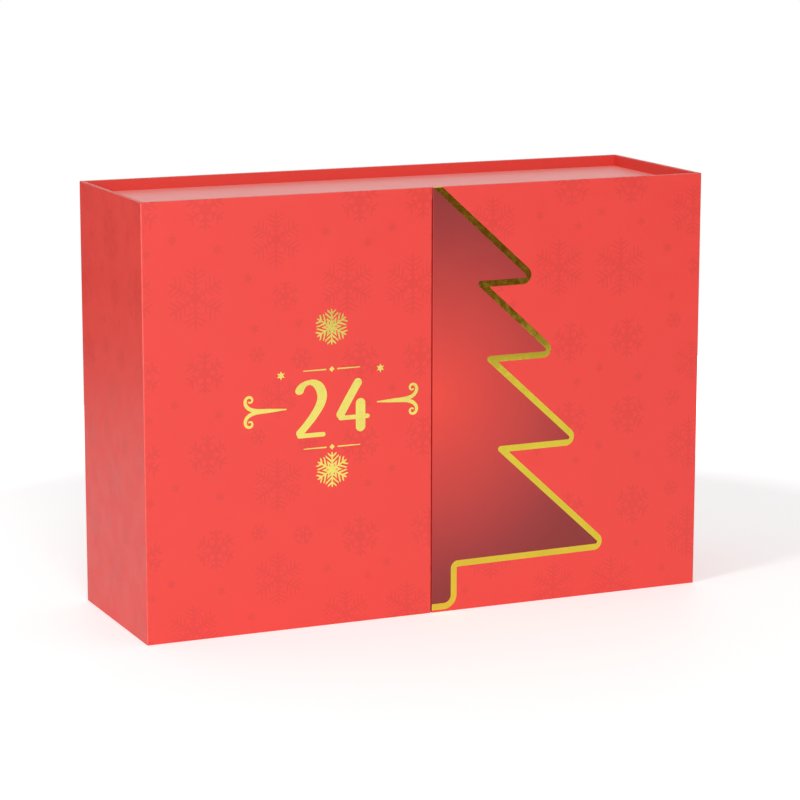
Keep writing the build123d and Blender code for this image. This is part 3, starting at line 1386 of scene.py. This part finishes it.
@dataclass(frozen=True)
class GiltOrnament:
    """Gold ornament of the left door: snowflakes, stars, a large twenty-four, scrolls and rules.

    Attributes:
        middle: middle of the ornament on the door, in millimetres.
        flake_levels: heights of the snowflakes' middles.
        flake_size: their size between opposite tips.
        digit_height: height of the number.
        pen: its widest stroke.
        star_places: middles of the small stars.
        star_size: their size.
        star_waist: radius of the stars' inner corners, in shares of their size.
        scroll_start: distance of the scrolls' ends from the middle.
        scroll_split: distance of each end from the scrolls' axis.
        scroll_length: length of each curl.
        scroll_bends: its bends in degrees.
        scroll_pen: its thinnest width, and how much wider it may be.
        rule_levels: heights of the two rules from the middle.
        rule_start: distance of a rule's two halves from the middle.
        rule_length: length of each half.
        rule_pen: mean width of a rule.
        diamond: half size of the diamond between the halves.
        base: height of the foil's underside above the paper.
        top: height of its upper side.
        step: how much each further stroke rises.
    """

    middle: Pair = (-74.9, 153.0)
    flake_levels: Pair = (208.6, 109.6)
    flake_size: float = 25.0
    digit_height: float = 40.0
    pen: float = 7.2
    star_places: tuple[Pair, ...] = ((-112.1, 177.6), (-38.9, 177.6))
    star_size: float = 6.4
    star_waist: float = 0.24
    scroll_start: float = 33.0
    scroll_split: float = 1.2
    scroll_length: float = 46.0
    scroll_bends: Triple = (40.0, -180.0, 560.0)
    scroll_pen: Pair = (0.75, 1.9)
    rule_levels: Pair = (26.5, -27.5)
    rule_start: float = 4.0
    rule_length: float = 17.0
    rule_pen: float = 0.8
    diamond: float = 2.0
    base: float = -0.02
    top: float = 0.034
    step: float = 0.004

    def curl(self) -> Array:
        """A curling pen line from the scroll's axis. The heading at share t of the length is
        a t + b t^2 + c t^4 degrees, and the points are the running sum of its unit steps.

        Returns:
            Array of shape (PATH_POINTS, 2).
        """
        t = np.linspace(0, 1, PATH_POINTS)
        bends = self.scroll_bends
        angle = np.radians(bends[0] * t + bends[1] * t**2 + bends[2] * t**4)
        return np.cumsum(bearings(angle) * (self.scroll_length / len(t)), axis=0)

    def drawn(self) -> Drawing:
        """Draws the ornament.

        Returns:
            The drawing.
        """
        drawing = Drawing()
        for level in self.flake_levels:
            Flake.GILT.stamp(drawing, (self.middle[0], level), self.flake_size)
        points = np.arange(12)
        rays = bearings(np.radians(30.0 * points + 90.0))
        reach = np.where(points % 2 == 0, 0.5, self.star_waist) * self.star_size
        for spot in self.star_places:
            drawing.fill(rays * reach[:, None] + spot)
        Numerals().write(drawing, 24, self.middle, self.digit_height, self.pen)
        swell = np.sin(np.pi * np.linspace(0.04, 0.9, PATH_POINTS)) ** 1.5
        pen = self.scroll_pen[0] + self.scroll_pen[1] * swell
        rule = np.stack((np.linspace(0, self.rule_length, 24), np.zeros(24)), axis=-1)
        rule_pen = self.rule_pen * np.linspace(1.2, 0.7, 24)
        for mirror in (-1, 1):
            spot = (self.middle[0] + mirror * self.scroll_start, self.middle[1])
            for rise in (1, -1):
                curl = self.curl() + (0.0, rise * self.scroll_split)
                drawing.stroke(curl * (mirror, rise) + spot, pen, 90)
            for level in self.rule_levels:
                spot = (self.middle[0] + mirror * self.rule_start, self.middle[1] + level)
                drawing.stroke(rule * (mirror, 1) + spot, rule_pen, 20)
        for level in self.rule_levels:
            spot = (self.middle[0], self.middle[1] + level)
            drawing.fill(bearings(np.radians(90.0 * np.arange(4))) * self.diamond + spot)
        return drawing

    def dress(self, panel: Panel, foil: Material) -> None:
        """Stamps the ornament on the left door's panel."""
        shell = self.drawn().plates(panel, self.base, self.top, self.step)
        add_piece("gold_ornament", shell, Body.LEFT_DOOR, (foil,))


@dataclass(frozen=True)
class FirTree:
    """Half a fir tree on the right door: a gold line round a printed field, both cut by the seam.

    Attributes:
        corners: sharp corners of the line's middle, from the top of the door to its seam.
        outer_radii: radius of the outer edge at each inner corner.
        inner_radii: radius of the inner edge there.
        line: width of the gold line.
        arc_points: points of the arc at each corner.
        base: height of the plates' undersides above the paper.
        field_top: height of the printed field.
        foil_top: height of the gold line.
    """

    corners: tuple[Pair, ...] = (
        (-9.5, 312.0),
        (80.0, 231.2),
        (37.4, 230.9),
        (95.6, 178.0),
        (44.6, 177.6),
        (115.0, 113.4),
        (53.5, 112.9),
        (138.2, 35.1),
        (17.2, 33.7),
        (17.2, 3.9),
        (-6.0, 3.9),
    )
    outer_radii: tuple[float, ...] = (6.4, 0.3, 6.2, 0.3, 6.5, 0.3, 6.4, 1.0, 10.0)
    inner_radii: tuple[float, ...] = (1.4, 2.1, 1.4, 2.1, 1.4, 2.1, 1.4, 5.5, 5.5)
    line: float = 4.5
    arc_points: int = 14
    base: float = -0.02
    field_top: float = 0.014
    foil_top: float = 0.03

    def edges(self) -> tuple[Array, Array]:
        """The line's two edges, rounded corner by corner by the same number of points.

        Returns:
            The outer edge and the inner one.
        """
        middle = np.array(self.corners)
        outer, inner = (offset_path(middle, side * self.line / 2) for side in (1, -1))
        return (
            filleted(outer, np.array(self.outer_radii), self.arc_points),
            filleted(inner, np.array(self.inner_radii), self.arc_points),
        )

    def dress(self, panel: Panel, finishes: Finishes) -> None:
        """Prints the field and stamps the line on the right door's panel.

        Args:
            panel: the door's face, with its soft edges.
            finishes: the finishes of the box.
        """
        outer, inner = self.edges()
        printed = Drawing()
        printed.fill((outer + inner)[::-1] / 2)
        shell = printed.plates(panel, self.base, self.field_top)
        add_piece("fir_tree_field", shell, Body.RIGHT_DOOR, (finishes.glow,), even=True)
        stamped = Drawing()
        stamped.strip(outer, inner)
        shell = stamped.plates(panel, self.base, self.foil_top)
        add_piece("fir_tree_line", shell, Body.RIGHT_DOOR, (finishes.tree_foil,), even=True)


# Sub-assemblies.


def edge_levels(radius: float) -> Array:
    """Four rings of a soft edge, with inset r (1 - sin a) and height r (1 - cos a), for a from 0 to
    90 degrees.

    Args:
        radius: radius of the edge.

    Returns:
        Array of shape (4, 2).
    """
    return radius * (1 - bearings(np.linspace(0, np.pi / 2, 4))[:, ::-1])


def rim_levels(length: float, radius: float) -> Array:
    """Rings of a bar whose two ends have soft edges, with the inset and height of each.

    Args:
        length: length of the bar.
        radius: radius of its end edges.

    Returns:
        Array of shape (8, 2).
    """
    low = edge_levels(radius)
    return np.concatenate((low, low[::-1] * (1, -1) + (0, length)))


def soft_bar(
    shell: Shell,
    loop: Array,
    levels: Array,
    panel: Panel,
    corner_rim: Array | float = 0.0,
    hole: Optional[Array] = None,
) -> None:
    """Adds a bar of constant section with soft ends, standing on a panel.

    A ring's points are the loop's moved inwards by the ring's inset times the mitre moves.

    Args:
        shell: gathers the bar.
        loop: anticlockwise section in millimetres.
        levels: inset and height of each ring.
        panel: plane that the section is drawn on. Its outward side is the bar's length.
        corner_rim: paleness share of each of the section's points, for paper wear and a painted
            highlight.
        hole: a further loop that goes right through.
    """
    rings = loop[None] + levels[:, :1, None] * mitres(loop)[None]
    points = panel.at(rings, levels[:, 1:2])
    size, rows = len(loop), len(levels)
    share = levels[:, :1] / max(levels[:, 0].max(), 1e-9)
    # Paleness share, highest midway round the soft ends: paper wear and a painted highlight on the
    # rounding.
    rim = np.maximum(4 * share * (1 - share), np.broadcast_to(corner_rim, (size,))[None]).ravel()
    if hole is None:
        shell.add(points, tube(rows, size), rim)
        return
    total, extra = rows * size, len(hole)
    ends = [panel.at(hole, height) for height in levels[[0, -1], 1]]
    # Numbers of an end's points as its filling counts them: the ring first and then the hole.
    low = np.concatenate((np.arange(size), total + np.arange(extra)))
    high = np.concatenate((np.arange(size) + total - size, total + extra + np.arange(extra)))
    blocks = (
        lattice(rows, size),
        low[tessellated((rings[0], hole))][:, ::-1],
        high[tessellated((rings[-1], hole))],
        lattice(2, extra)[:, ::-1] + total,
    )
    every = np.concatenate((points.reshape(-1, 3), *ends))
    shell.add(every, blocks, np.concatenate((rim, np.zeros(2 * extra))))


@dataclass(frozen=True)
class Section:
    """Section of a wrapped board.

    Attributes:
        loop: its anticlockwise outline, in millimetres.
        wear: paleness share of each of the outline's points, paper wear and a painted highlight.
        lined: number of the side that carries plain paper.
    """

    loop: Array
    wear: Array
    lined: int

    @classmethod
    def joined(cls, lined: int, *parts: tuple[Array, Sequence[float]]) -> "Section":
        """Joins a section from parts of its outline.

        Args:
            lined: number of the side that carries plain paper.
            parts: points and their paleness shares, in order.

        Returns:
            The section.
        """
        points, shares = zip(*parts)
        return cls(np.concatenate(points), np.concatenate(shares).astype(float), lined)

    def mirrored(self) -> "Section":
        """The section of the board on the other side of the box."""
        loop = (self.loop * (-1, 1))[::-1]
        return Section(loop, self.wear[::-1], len(loop) - 2 - self.lined)


@dataclass
class WrappedCase:
    """Back and sides of the case and both doors: boards wrapped in one printed sheet.

    Lengths are in millimetres.

    Attributes:
        finishes: the finishes of the box.
        width: outer width.
        depth: outer depth.
        height: outer height.
        board: thickness of the boards.
        corner: radius of the wrapped upright corners.
        edge: radius of the doors' free edges.
        rim: radius of the upper and lower edges.
        skin: how far the paper lies inside the outer faces, which leaves room for the foil.
        gap: half the gap between the doors.
        relief: width of the vee at the hinge.
        right_sheet: place across and up on the sheet at which the right door's print starts.
    """

    finishes: Finishes
    width: float = 420.0
    depth: float = 130.0
    height: float = 300.0
    board: float = 3.0
    corner: float = 0.8
    edge: float = 0.5
    rim: float = 0.4
    skin: float = 0.04
    gap: float = 0.5
    relief: float = 0.2
    right_sheet: Pair = (-2.6, -2.2)

    def bend(self, across: int, along: int, start: float) -> Array:
        """Half of a wrapped upright corner, an eighth of a circle.

        Args:
            across: sign of the corner's X.
            along: sign of its Y.
            start: first angle in degrees.

        Returns:
            Array of shape (5, 2).
        """
        x, y = (size / 2 - self.skin - self.corner for size in (self.width, self.depth))
        return arc((across * x, along * y), self.corner, start, start + 45, len(FADING))

    def door_section(self) -> Section:
        """The left door: hinge corner, free edge and the slanted end at the hinge.

        Returns:
            The section.
        """
        near, edge = -self.depth / 2 + self.skin + self.edge, -self.gap - self.edge
        inner = -self.depth / 2 + self.board
        mitre = np.array(((self.relief - self.width / 2 + self.board, inner),))
        return Section.joined(
            16,
            (self.bend(-1, -1, 225), FADING),
            (arc((edge, near), self.edge, 270, 360, 6), (0.0, 0.5, 1.0, 1.0, 0.5, 0.0)),
            (arc((edge, inner - self.edge), self.edge, 0, 90, 6), (0.0, 0.3, 0.5, 0.5, 0.3, 0.0)),
            (mitre, (0.0,)),
        )

    def side_section(self) -> Section:
        """The left side: back corner, front corner and inner face.

        Returns:
            The section.
        """
        x, y = self.board - self.width / 2, self.board - self.depth / 2
        inside = np.array(((x, y + self.relief), (x, -y)))
        return Section.joined(
            10,
            (self.bend(-1, 1, 135), FADING),
            (self.bend(-1, -1, 180), FADING[::-1]),
            (inside, (0.0, 0.0)),
        )

    def back_section(self) -> Section:
        """The back: right corner, left corner and inner face.

        Returns:
            The section.
        """
        x, y = self.width / 2 - self.board, self.depth / 2 - self.board
        inside = np.array(((-x, y), (x, y)))
        return Section.joined(
            10,
            (self.bend(1, 1, 45), FADING),
            (self.bend(-1, 1, 90), FADING[::-1]),
            (inside, (0.0, 0.0)),
        )

    def board_piece(self, node: str, body: Body, section: Section) -> None:
        """Makes one wrapped board in place of its plain node, with darker plain paper on its inner
        side as painted shade.

        Args:
            node: the CAD node that it stands for.
            body: the body that it rides on.
            section: its section.
        """
        shell = Shell()
        ground = Panel((0.0, 0.0, 0.0), X_AXIS, Y_AXIS)
        soft_bar(shell, section.loop, rim_levels(self.height, self.rim), ground, section.wear)
        sides = np.arange(len(shell.faces) - 2) % len(section.loop)
        shell.finishes = [*(sides == section.lined).astype(int).tolist(), 0, 0]
        # The inner side takes the darker paper, which paints the shade inside the case.
        papers = (self.finishes.wrap, self.finishes.inner)
        add_piece(f"{node}_wrapped", shell, body.value, papers, (node,), even=True)

    def door_panel(self, side: Side) -> Panel:
        """The outer face of a door up to its free edge and its rims.

        Args:
            side: which door.

        Returns:
            The panel.
        """
        outer = self.width / 2 - self.corner
        low, high = (-outer, -self.gap) if side is Side.LEFT else (self.gap, outer)
        return Panel(
            (0.0, (-self.depth / 2 + self.skin) * MM, 0.0),
            X_AXIS,
            Z_AXIS,
            (low, 0.0),
            (high, self.height),
            *((0.0, 0.0) if side is Side.LEFT else self.right_sheet),
            self.rim,
        )

    def wall_panels(self) -> dict[str, Panel]:
        """The outer faces of the two sides and the back, with their places on the wrap sheet.

        Returns:
            The panels by the name of their face.
        """
        x, y = ((size / 2 - self.skin) * MM for size in (self.width, self.depth))
        turn, far = (self.width + self.depth) / 2, self.width + self.depth
        places = {
            "left_side": ((-x, 0.0, 0.0), (0.0, -1.0, 0.0), self.depth, -turn),
            "right_side": ((x, 0.0, 0.0), Y_AXIS, self.depth, turn),
            "back": ((0.0, y, 0.0), (-1.0, 0.0, 0.0), self.width, -far),
        }
        panels = {}
        for name, (origin, across, size, start) in places.items():
            reach = size / 2 - self.corner
            low, high = (-reach, self.rim), (reach, self.height - self.rim)
            panels[name] = Panel(origin, across, Z_AXIS, low, high, start)
        return panels

    def build(self) -> None:
        """Makes the boards, the print and the gold."""
        ink, frost = self.finishes.ink, FrostPrint()
        self.board_piece("case_back", Body.CASE, self.back_section())
        for side in Side:
            wall, door = self.side_section(), self.door_section()
            if side is Side.RIGHT:
                wall, door = wall.mirrored(), door.mirrored()
            self.board_piece(f"case_{side.word}_side", Body.CASE, wall)
            self.board_piece(f"{side.word}_door_board", side.door, door)
            panel = self.door_panel(side)
            frost.dress(f"{side.word}_door_print", panel, side.door.value, ink, Slot.WRAP)
        for name, panel in self.wall_panels().items():
            frost.dress(f"case_{name}_print", panel, Body.CASE.value, ink, Slot.WRAP)
        GiltOrnament().dress(self.door_panel(Side.LEFT), self.finishes.foil)
        FirTree().dress(self.door_panel(Side.RIGHT), self.finishes)


@dataclass
class Cabinet:
    """Everything fixed inside the case, and the linings and magnets of the doors.

    Attributes:
        finishes: the finishes of the box.
        nodes: the frame's CAD nodes by name.
        margin: distance of the linings' print from their edges, in millimetres.
        lining_sheet: place across the sheet at which that print is centred.
    """

    finishes: Finishes
    nodes: dict[str, bpy.types.Object]
    margin: float = 0.3
    lining_sheet: float = 30.0

    def repaint(self, slot: Slot, finish: Material, *names: str) -> None:
        """Gives CAD nodes a finish.

        Args:
            slot: the record's slot; not used.
            finish: the material.
            names: the nodes.
        """
        for name in names:
            node = self.nodes[name]
            node.data.materials.clear()
            node.data.materials.append(finish)
            LOG.info("%s: finished as %s", name, finish.name)

    def lining_panel(self, side: Side) -> Panel:
        """The face of a door's lining, which looks into the box.

        Args:
            side: which door.

        Returns:
            The panel.
        """
        low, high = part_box(f"{side.word}_door_lining")
        return Panel(
            (0.0, high.y, 0.0),
            (-1.0, 0.0, 0.0),
            Z_AXIS,
            (-high.x / MM + self.margin, low.z / MM + self.margin),
            (-low.x / MM - self.margin, high.z / MM - self.margin),
            self.lining_sheet,
        )

    def build(self) -> None:
        """Dresses the nodes and prints the linings."""
        made = self.finishes
        places = ("bottom", "top", "left_wall", "right_wall", "back")
        walls = [f"cabinet_{place}" for place in places]
        self.repaint(Slot.CABINET, made.cabinet, *walls, "post_strip", "post_facing")
        uprights = [f"{side.word}_{place}_upright" for side in Side for place in ("outer", "inner")]
        posts = [f"{side.word}_post_wall" for side in Side]
        self.repaint(Slot.DIVIDER, made.divider, "shelf_1", "shelf_2", "shelf_3", *uprights, *posts)
        self.repaint(Slot.DISC, made.steel, "catch_discs")
        for side in Side:
            self.repaint(Slot.LINING, made.lining, f"{side.word}_door_lining")
            self.repaint(Slot.MAGNET, made.nickel, f"{side.word}_door_magnets")
            name, panel = f"{side.word}_lining_print", self.lining_panel(side)
            FrostPrint().dress(name, panel, side.door.value, made.lining_ink, Slot.LINING)


@dataclass
class Drawers:
    """Twenty-four drawers, each a printed front, a folded tray, a satin pull and a gold number.

    Lengths are in millimetres.

    Attributes:
        finishes: the finishes of the box.
        count: number of drawers.
        face: Y of the fronts' faces.
        front_board: thickness of the front.
        tray_board: thickness of the tray's board.
        tray_headroom: how far the tray's rim is under the front's top.
        corner: radius of the fronts' corners.
        edge: radius of the fronts' edges.
        print_inset: distance of the print from the fronts' rounded corners.
        fold: radius of the tray's rim and of its folded edges.
        tray_corner: radius of the tray's upright corners on the outside.
        slit_play: how much wider than the ribbon its slit is.
        slit_height: height of the slit.
        slit_corner: radius of its corners.
        ribbon_width: width of the pull.
        ribbon_drop: height of the front's top above the slit's middle.
        ribbon_ply: thickness of one ply.
        ribbon_tail: how far the tail runs down inside.
        digit_height: height of the number.
        pen: its widest stroke.
        number_rise: height of its middle above the front's middle.
        number_levels: heights of its underside and upper side above the print.
        number_step: how much lower the part before is.
    """

    finishes: Finishes
    count: int = 24
    face: float = -54.5
    front_board: float = 1.5
    tray_board: float = 1.2
    tray_headroom: float = 7.5
    corner: float = 0.6
    edge: float = 0.3
    print_inset: float = 0.1
    fold: float = 0.3
    tray_corner: float = 0.7
    slit_play: float = 0.3
    slit_height: float = 1.0
    slit_corner: float = 0.3
    ribbon_width: float = 11.0
    ribbon_drop: float = 19.0
    ribbon_ply: float = 0.34
    ribbon_tail: float = 14.0
    digit_height: float = 17.0
    pen: float = 2.6
    number_rise: float = -12.0
    number_levels: Pair = (-0.02, 0.05)
    number_step: float = 0.004

    def front(self, name: str, low: Vector, high: Vector) -> Panel:
        """Makes a drawer's front with its ribbon slit.

        Args:
            name: the drawer's node and body.
            low: lowest corner of the node.
            high: highest corner of the node.

        Returns:
            The panel of its face, drawn from the middle of its bottom edge.
        """
        width, height = (high.x - low.x) / MM, (high.z - low.z) / MM
        middle = (low.x + high.x) / 2
        back = Panel((middle, (self.face + self.front_board) * MM, low.z), X_AXIS, Z_AXIS)
        loop = rounded_rectangle(width, height, self.corner) + (0, height / 2)
        slit = rounded_rectangle(
            self.ribbon_width + self.slit_play, self.slit_height, self.slit_corner, 3
        ) + (0, height - self.ribbon_drop)
        shell = Shell()
        soft_bar(shell, loop, rim_levels(self.front_board, self.edge), back, hole=slit)
        paper = (self.finishes.wrap,)
        add_piece(f"{name}_front", shell, name, paper, (name,), even=True)
        inset = self.corner + self.print_inset
        return Panel(
            (middle, self.face * MM, low.z),
            X_AXIS,
            Z_AXIS,
            (inset - width / 2, inset),
            (width / 2 - inset, height - inset),
            middle / MM,
        )

    def tray(self, name: str, low: Vector, high: Vector) -> None:
        """Makes a drawer's tray: one closed surface that runs up the outside, over the rim, down
        the inside and across the floor.

        Args:
            name: the drawer's node and body.
            low: lowest corner of the node.
            high: highest corner of the node.
        """
        start = (self.face + self.front_board) * MM
        width, depth = (high.x - low.x) / MM, (high.y - start) / MM
        height = (high.z - low.z) / MM - self.tray_headroom
        board, soft = self.tray_board, self.fold
        foot = edge_levels(soft)
        turn = bearings(np.linspace(0, np.pi, 7))
        lip = (board / 2, height - soft) + turn * (-board / 2, soft)
        levels = np.concatenate((foot, lip, board + foot[:, ::-1]))
        rings = []
        for inset in levels[:, 0]:
            radius = max(0.25, self.tray_corner - inset / 3)
            rings.append(rounded_rectangle(width - 2 * inset, depth - 2 * inset, radius))
        ground = Panel(((low.x + high.x) / 2, (start + high.y) / 2, low.z), X_AXIS, Y_AXIS)
        points = ground.at(np.stack(rings), levels[:, 1:2])
        shell = Shell()
        shell.add(points, tube(*points.shape[:2]))
        board = (self.finishes.tray,)
        add_piece(f"{name}_tray", shell, name, board, (name,), even=True)

    def ribbon(self, name: str, low: Vector, high: Vector) -> None:
        """Makes a drawer's pull: one strip that runs up inside, out through the slit, turns back at
        its lower end as a soft loop, and runs in and down again. Its two edges are thicker, as a
        woven ribbon's are.

        Args:
            name: the drawer's node and body.
            low: lowest corner of the node.
            high: highest corner of the node.
        """
        level = (high.z - low.z) / MM - self.ribbon_drop
        ply, inside = self.ribbon_ply, self.front_board + self.tray_board
        reach = self.face - low.y / MM
        # Distance behind the front's face, and height.
        knots = np.array(
            (
                (inside + ply * 0.6, level - self.ribbon_tail),
                (inside + ply * 0.6, level - 0.21),
                (-1.2, level - 0.21),
                (-1.8, level - 4.0),
                (-reach + 1.9, level - 8.6),
                (-reach + 0.6, level - 9.6),
                (-reach + ply / 2 + 0.02, level - 8.2),
                (-reach + ply / 2 + 0.2, level - 3.4),
                (-2.1, level + 0.21),
                (inside + ply * 1.75, level + 0.21),
                (inside + ply * 1.75, level - self.ribbon_tail),
            )
        )
        path = filleted(knots, np.array((0.25, 0.8, 2.0, 0.6, 0.7, 0.6, 3.0, 1.5, 0.5)), 6)
        side = left_of(unit(np.gradient(path, axis=0))) * ply / 2
        # Places across half of the ribbon, and its thickness there as a share of a ply.
        half = self.ribbon_width / 2
        share = np.array((0.0, half - 1.0, half - 0.75, half - 0.5, half - 0.15, half))
        bulk = np.array((0.72, 0.72, 0.8, 1.0, 0.9, 0.35))
        across = np.concatenate((-share[::-1], share[1:], share[::-1], -share[1:]))
        flank = np.concatenate((-bulk[::-1], -bulk[1:], bulk[::-1], bulk[1:]))
        selvage = np.tile((np.abs(across) > half - 0.9).astype(float), (len(path), 1))
        section = path[:, None] + side[:, None] * flank[None, :, None]
        points = np.empty((*section.shape[:2], 3))
        points[..., 0] = (low.x + high.x) / 2 + across * MM
        points[..., 1] = (self.face + section[..., 0]) * MM
        points[..., 2] = low.z + section[..., 1] * MM
        shell = Shell()
        shell.add(points, [block[:, ::-1] for block in tube(*section.shape[:2])], selvage)
        add_piece(f"{name}_ribbon", shell, name, (self.finishes.satin,), (name,))

    def build(self) -> None:
        """Makes every drawer."""
        frost, numerals = FrostPrint(), Numerals()
        for number in range(1, self.count + 1):
            name = f"drawer_{number:02d}"
            low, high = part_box(name)
            panel = self.front(name, low, high)
            self.tray(name, low, high)
            self.ribbon(name, low, high)
            # The print runs on from front to front, so it is drawn from the ground up.
            lift = low.z / MM
            sheet = replace(
                panel,
                origin=(*panel.origin[:2], 0.0),
                low=(panel.low[0], panel.low[1] + lift),
                high=(panel.high[0], panel.high[1] + lift),
            )
            frost.dress(f"{name}_print", sheet, name, self.finishes.ink, Slot.DRAWER)
            drawing = Drawing()
            middle = (0.0, (high.z - low.z) / MM / 2 + self.number_rise)
            numerals.write(drawing, number, middle, self.digit_height, self.pen)
            shell = drawing.plates(panel, *self.number_levels, self.number_step)
            add_piece(f"{name}_number", shell, name, (self.finishes.foil,))


# Studio.


def looking(place: Vector, way: Vector) -> Matrix:
    """Matrix of a camera or a lamp at a place, which looks along a direction."""
    return Matrix.Translation(place) @ way.to_track_quat("-Z", "Y").to_matrix().to_4x4()


@dataclass(frozen=True)
class Viewpoint:
    """The camera's place, as seen from a target on the box.

    Attributes:
        target: the point in the middle of the view.
        distance: from the target to the camera.
        azimuth: degrees round the box, 0 in front and 90 at its right.
        elevation: degrees above the horizon.
        roll: degrees about the line of sight.
        lens: focal length in millimetres on a 36 mm sensor.
    """

    target: Triple = (-0.02421, -0.065, 0.15408)
    distance: float = 2.0289
    azimuth: float = -23.905
    elevation: float = 11.087
    roll: float = 0.068
    lens: float = 132.7

    def set_camera(self) -> None:
        """Makes the camera and the scene's view of it."""
        camera = bpy.data.cameras.new("camera")
        camera.lens = self.lens
        camera.sensor_width = 36.0
        camera.clip_start = 0.01
        holder = add_object("camera", camera)
        a, e = math.radians(self.azimuth), math.radians(self.elevation)
        back = Vector((math.sin(a) * math.cos(e), -math.cos(a) * math.cos(e), math.sin(e)))
        turn = Matrix.Rotation(math.radians(self.roll), 4, "Z")
        holder.matrix_world = looking(Vector(self.target) + back * self.distance, -back) @ turn
        bpy.context.scene.camera = holder


@dataclass(frozen=True)
class Lamp:
    """A soft square lamp.

    Attributes:
        name: its name.
        place: where it hangs.
        aim: the point that it faces.
        size: width in metres.
        power: watts.
    """

    name: str
    place: Triple
    aim: Triple
    size: float
    power: float

    def hang(self) -> None:
        """Makes the lamp."""
        light = bpy.data.lights.new(self.name, "AREA")
        light.size = self.size
        light.energy = self.power
        place = Vector(self.place)
        lamp = add_object(self.name, light)
        lamp.matrix_world = looking(place, Vector(self.aim) - place)


@dataclass(frozen=True)
class Studio:
    """A pale table in a white room that is dim below the table's front edge.

    Attributes:
        ambient: strength of the room's light on matte faces.
        dim: strength of the room below the horizon.
        mirrored_dim: its strength there in reflections.
        dim_colour: its colour there.
        horizon: upward shares of a direction between which the room turns from dim to bright.
        floor_front: Y of the table's front edge.
        corner_cut: X and Y at which its front right corner is cut away.
        floor_back: Y of its back edge.
        floor_reach: how far it runs to the sides.
        floor_colour: linear grey of the table.
        shown_colour: the table's grey towards the camera alone.
        floor_glow: light that it adds there, so that it shows white and keeps a soft shadow.
        mirrored_glow: light that it adds in reflections.
        clear_ring: distances from the box between which that light rises to full white.
        lamps: the lamps.
    """

    ambient: float = 0.46
    dim: float = 0.04
    mirrored_dim: float = 0.125
    dim_colour: Triple = (1.0, 0.5, 0.3)
    horizon: Pair = (-0.06, 0.02)
    floor_front: float = -2.6
    corner_cut: Pair = (0.46, -0.97)
    floor_back: float = 0.75
    floor_reach: float = 4.0
    floor_colour: float = 0.82
    shown_colour: float = 1.0
    floor_glow: float = 0.3
    mirrored_glow: float = 0.21
    clear_ring: Pair = (0.45, 0.75)
    lamps: tuple[Lamp, ...] = (
        Lamp("side_lamp", (-2.9, -1.05, 1.75), (0.0, 0.0, 0.1), 0.7, 36.0),
        Lamp("front_lamp", (-0.9, -3.4, 1.0), (0.0, 0.0, 0.1), 1.3, 60.0),
    )

    def table(self) -> None:
        """Makes the table, a sheet of a few faces, and its material."""
        across = np.array((-self.floor_reach, 0.0, self.corner_cut[0], self.floor_reach))
        along = np.array((self.floor_front, self.corner_cut[1], self.floor_back))
        x, y = np.meshgrid(across, along)
        shell = Shell()
        faces = np.delete(lattice(3, 4, ring=False), 2, axis=0)
        shell.add(np.stack((x, y, np.zeros_like(x)), axis=-1), (faces,))
        floor = add_object("studio_table", shell.mesh("studio_table"))
        nodes = Nodes("studio_table")
        nodes.set(Roughness=0.6, Emission_Color=WHITE)
        away = nodes.feed(nodes.node("ShaderNodeVectorMath", operation="LENGTH"), nodes.place)
        glow = nodes.spread(away.outputs["Value"], self.floor_glow, 1.0, self.clear_ring)
        rays = nodes.node("ShaderNodeLightPath").outputs
        plain, shown = (self.floor_colour,) * 3, (self.shown_colour,) * 3
        nodes.set(Base_Color=nodes.mix("RGBA", rays["Is Camera Ray"], plain, shown))
        mirrored = nodes.spread(rays["Is Glossy Ray"], 0.0, self.mirrored_glow, (0.0, 1.0))
        nodes.set(Emission_Strength=nodes.mix("FLOAT", rays["Is Camera Ray"], mirrored, glow))
        floor.data.materials.append(nodes.material)

    def room(self) -> None:
        """Makes the world: white to the camera and in reflections, the ambient strength on matte
        faces, and dim below the horizon for both."""
        world = bpy.data.worlds.new("room")
        bpy.context.scene.world = world
        world.use_nodes = True
        tree = Tree(world.node_tree)
        rays = tree.node("ShaderNodeLightPath").outputs
        way = tree.node("ShaderNodeSeparateXYZ")
        tree.feed(way, tree.node("ShaderNodeTexCoord").outputs["Generated"])
        above = tree.spread(way.outputs["Z"], 0.0, 1.0, self.horizon)
        matte = tree.mix("FLOAT", above, self.dim, self.ambient)
        mirrored = tree.mix("FLOAT", above, self.mirrored_dim, 1.0)
        strength = tree.mix("FLOAT", rays["Is Glossy Ray"], matte, mirrored)
        for kind in ("Is Transmission Ray", "Is Camera Ray"):
            strength = tree.mix("FLOAT", rays[kind], strength, 1.0)
        share = tree.mix("FLOAT", rays["Is Camera Ray"], above, 1.0)
        colour = tree.mix("RGBA", share, self.dim_colour, WHITE)
        tree.feed(tree.tree.nodes["Background"], Color=colour, Strength=strength)

    def build(self) -> None:
        """Makes the room, the table and the lamps, and sets the plain view transform."""
        self.room()
        self.table()
        for lamp in self.lamps:
            lamp.hang()
        bpy.context.scene.view_settings.view_transform = "Standard"


def main() -> None:
    """Builds the box round its frame and reports each piece."""
    logging.basicConfig(level=logging.INFO, format="%(name)s: %(message)s")
    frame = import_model()
    Viewpoint().set_camera()
    Studio().build()
    finishes = Finishes()
    WrappedCase(finishes).build()
    Cabinet(finishes, frame["nodes"]).build()
    Drawers(finishes).build()


if __name__ == "__main__":
    main()
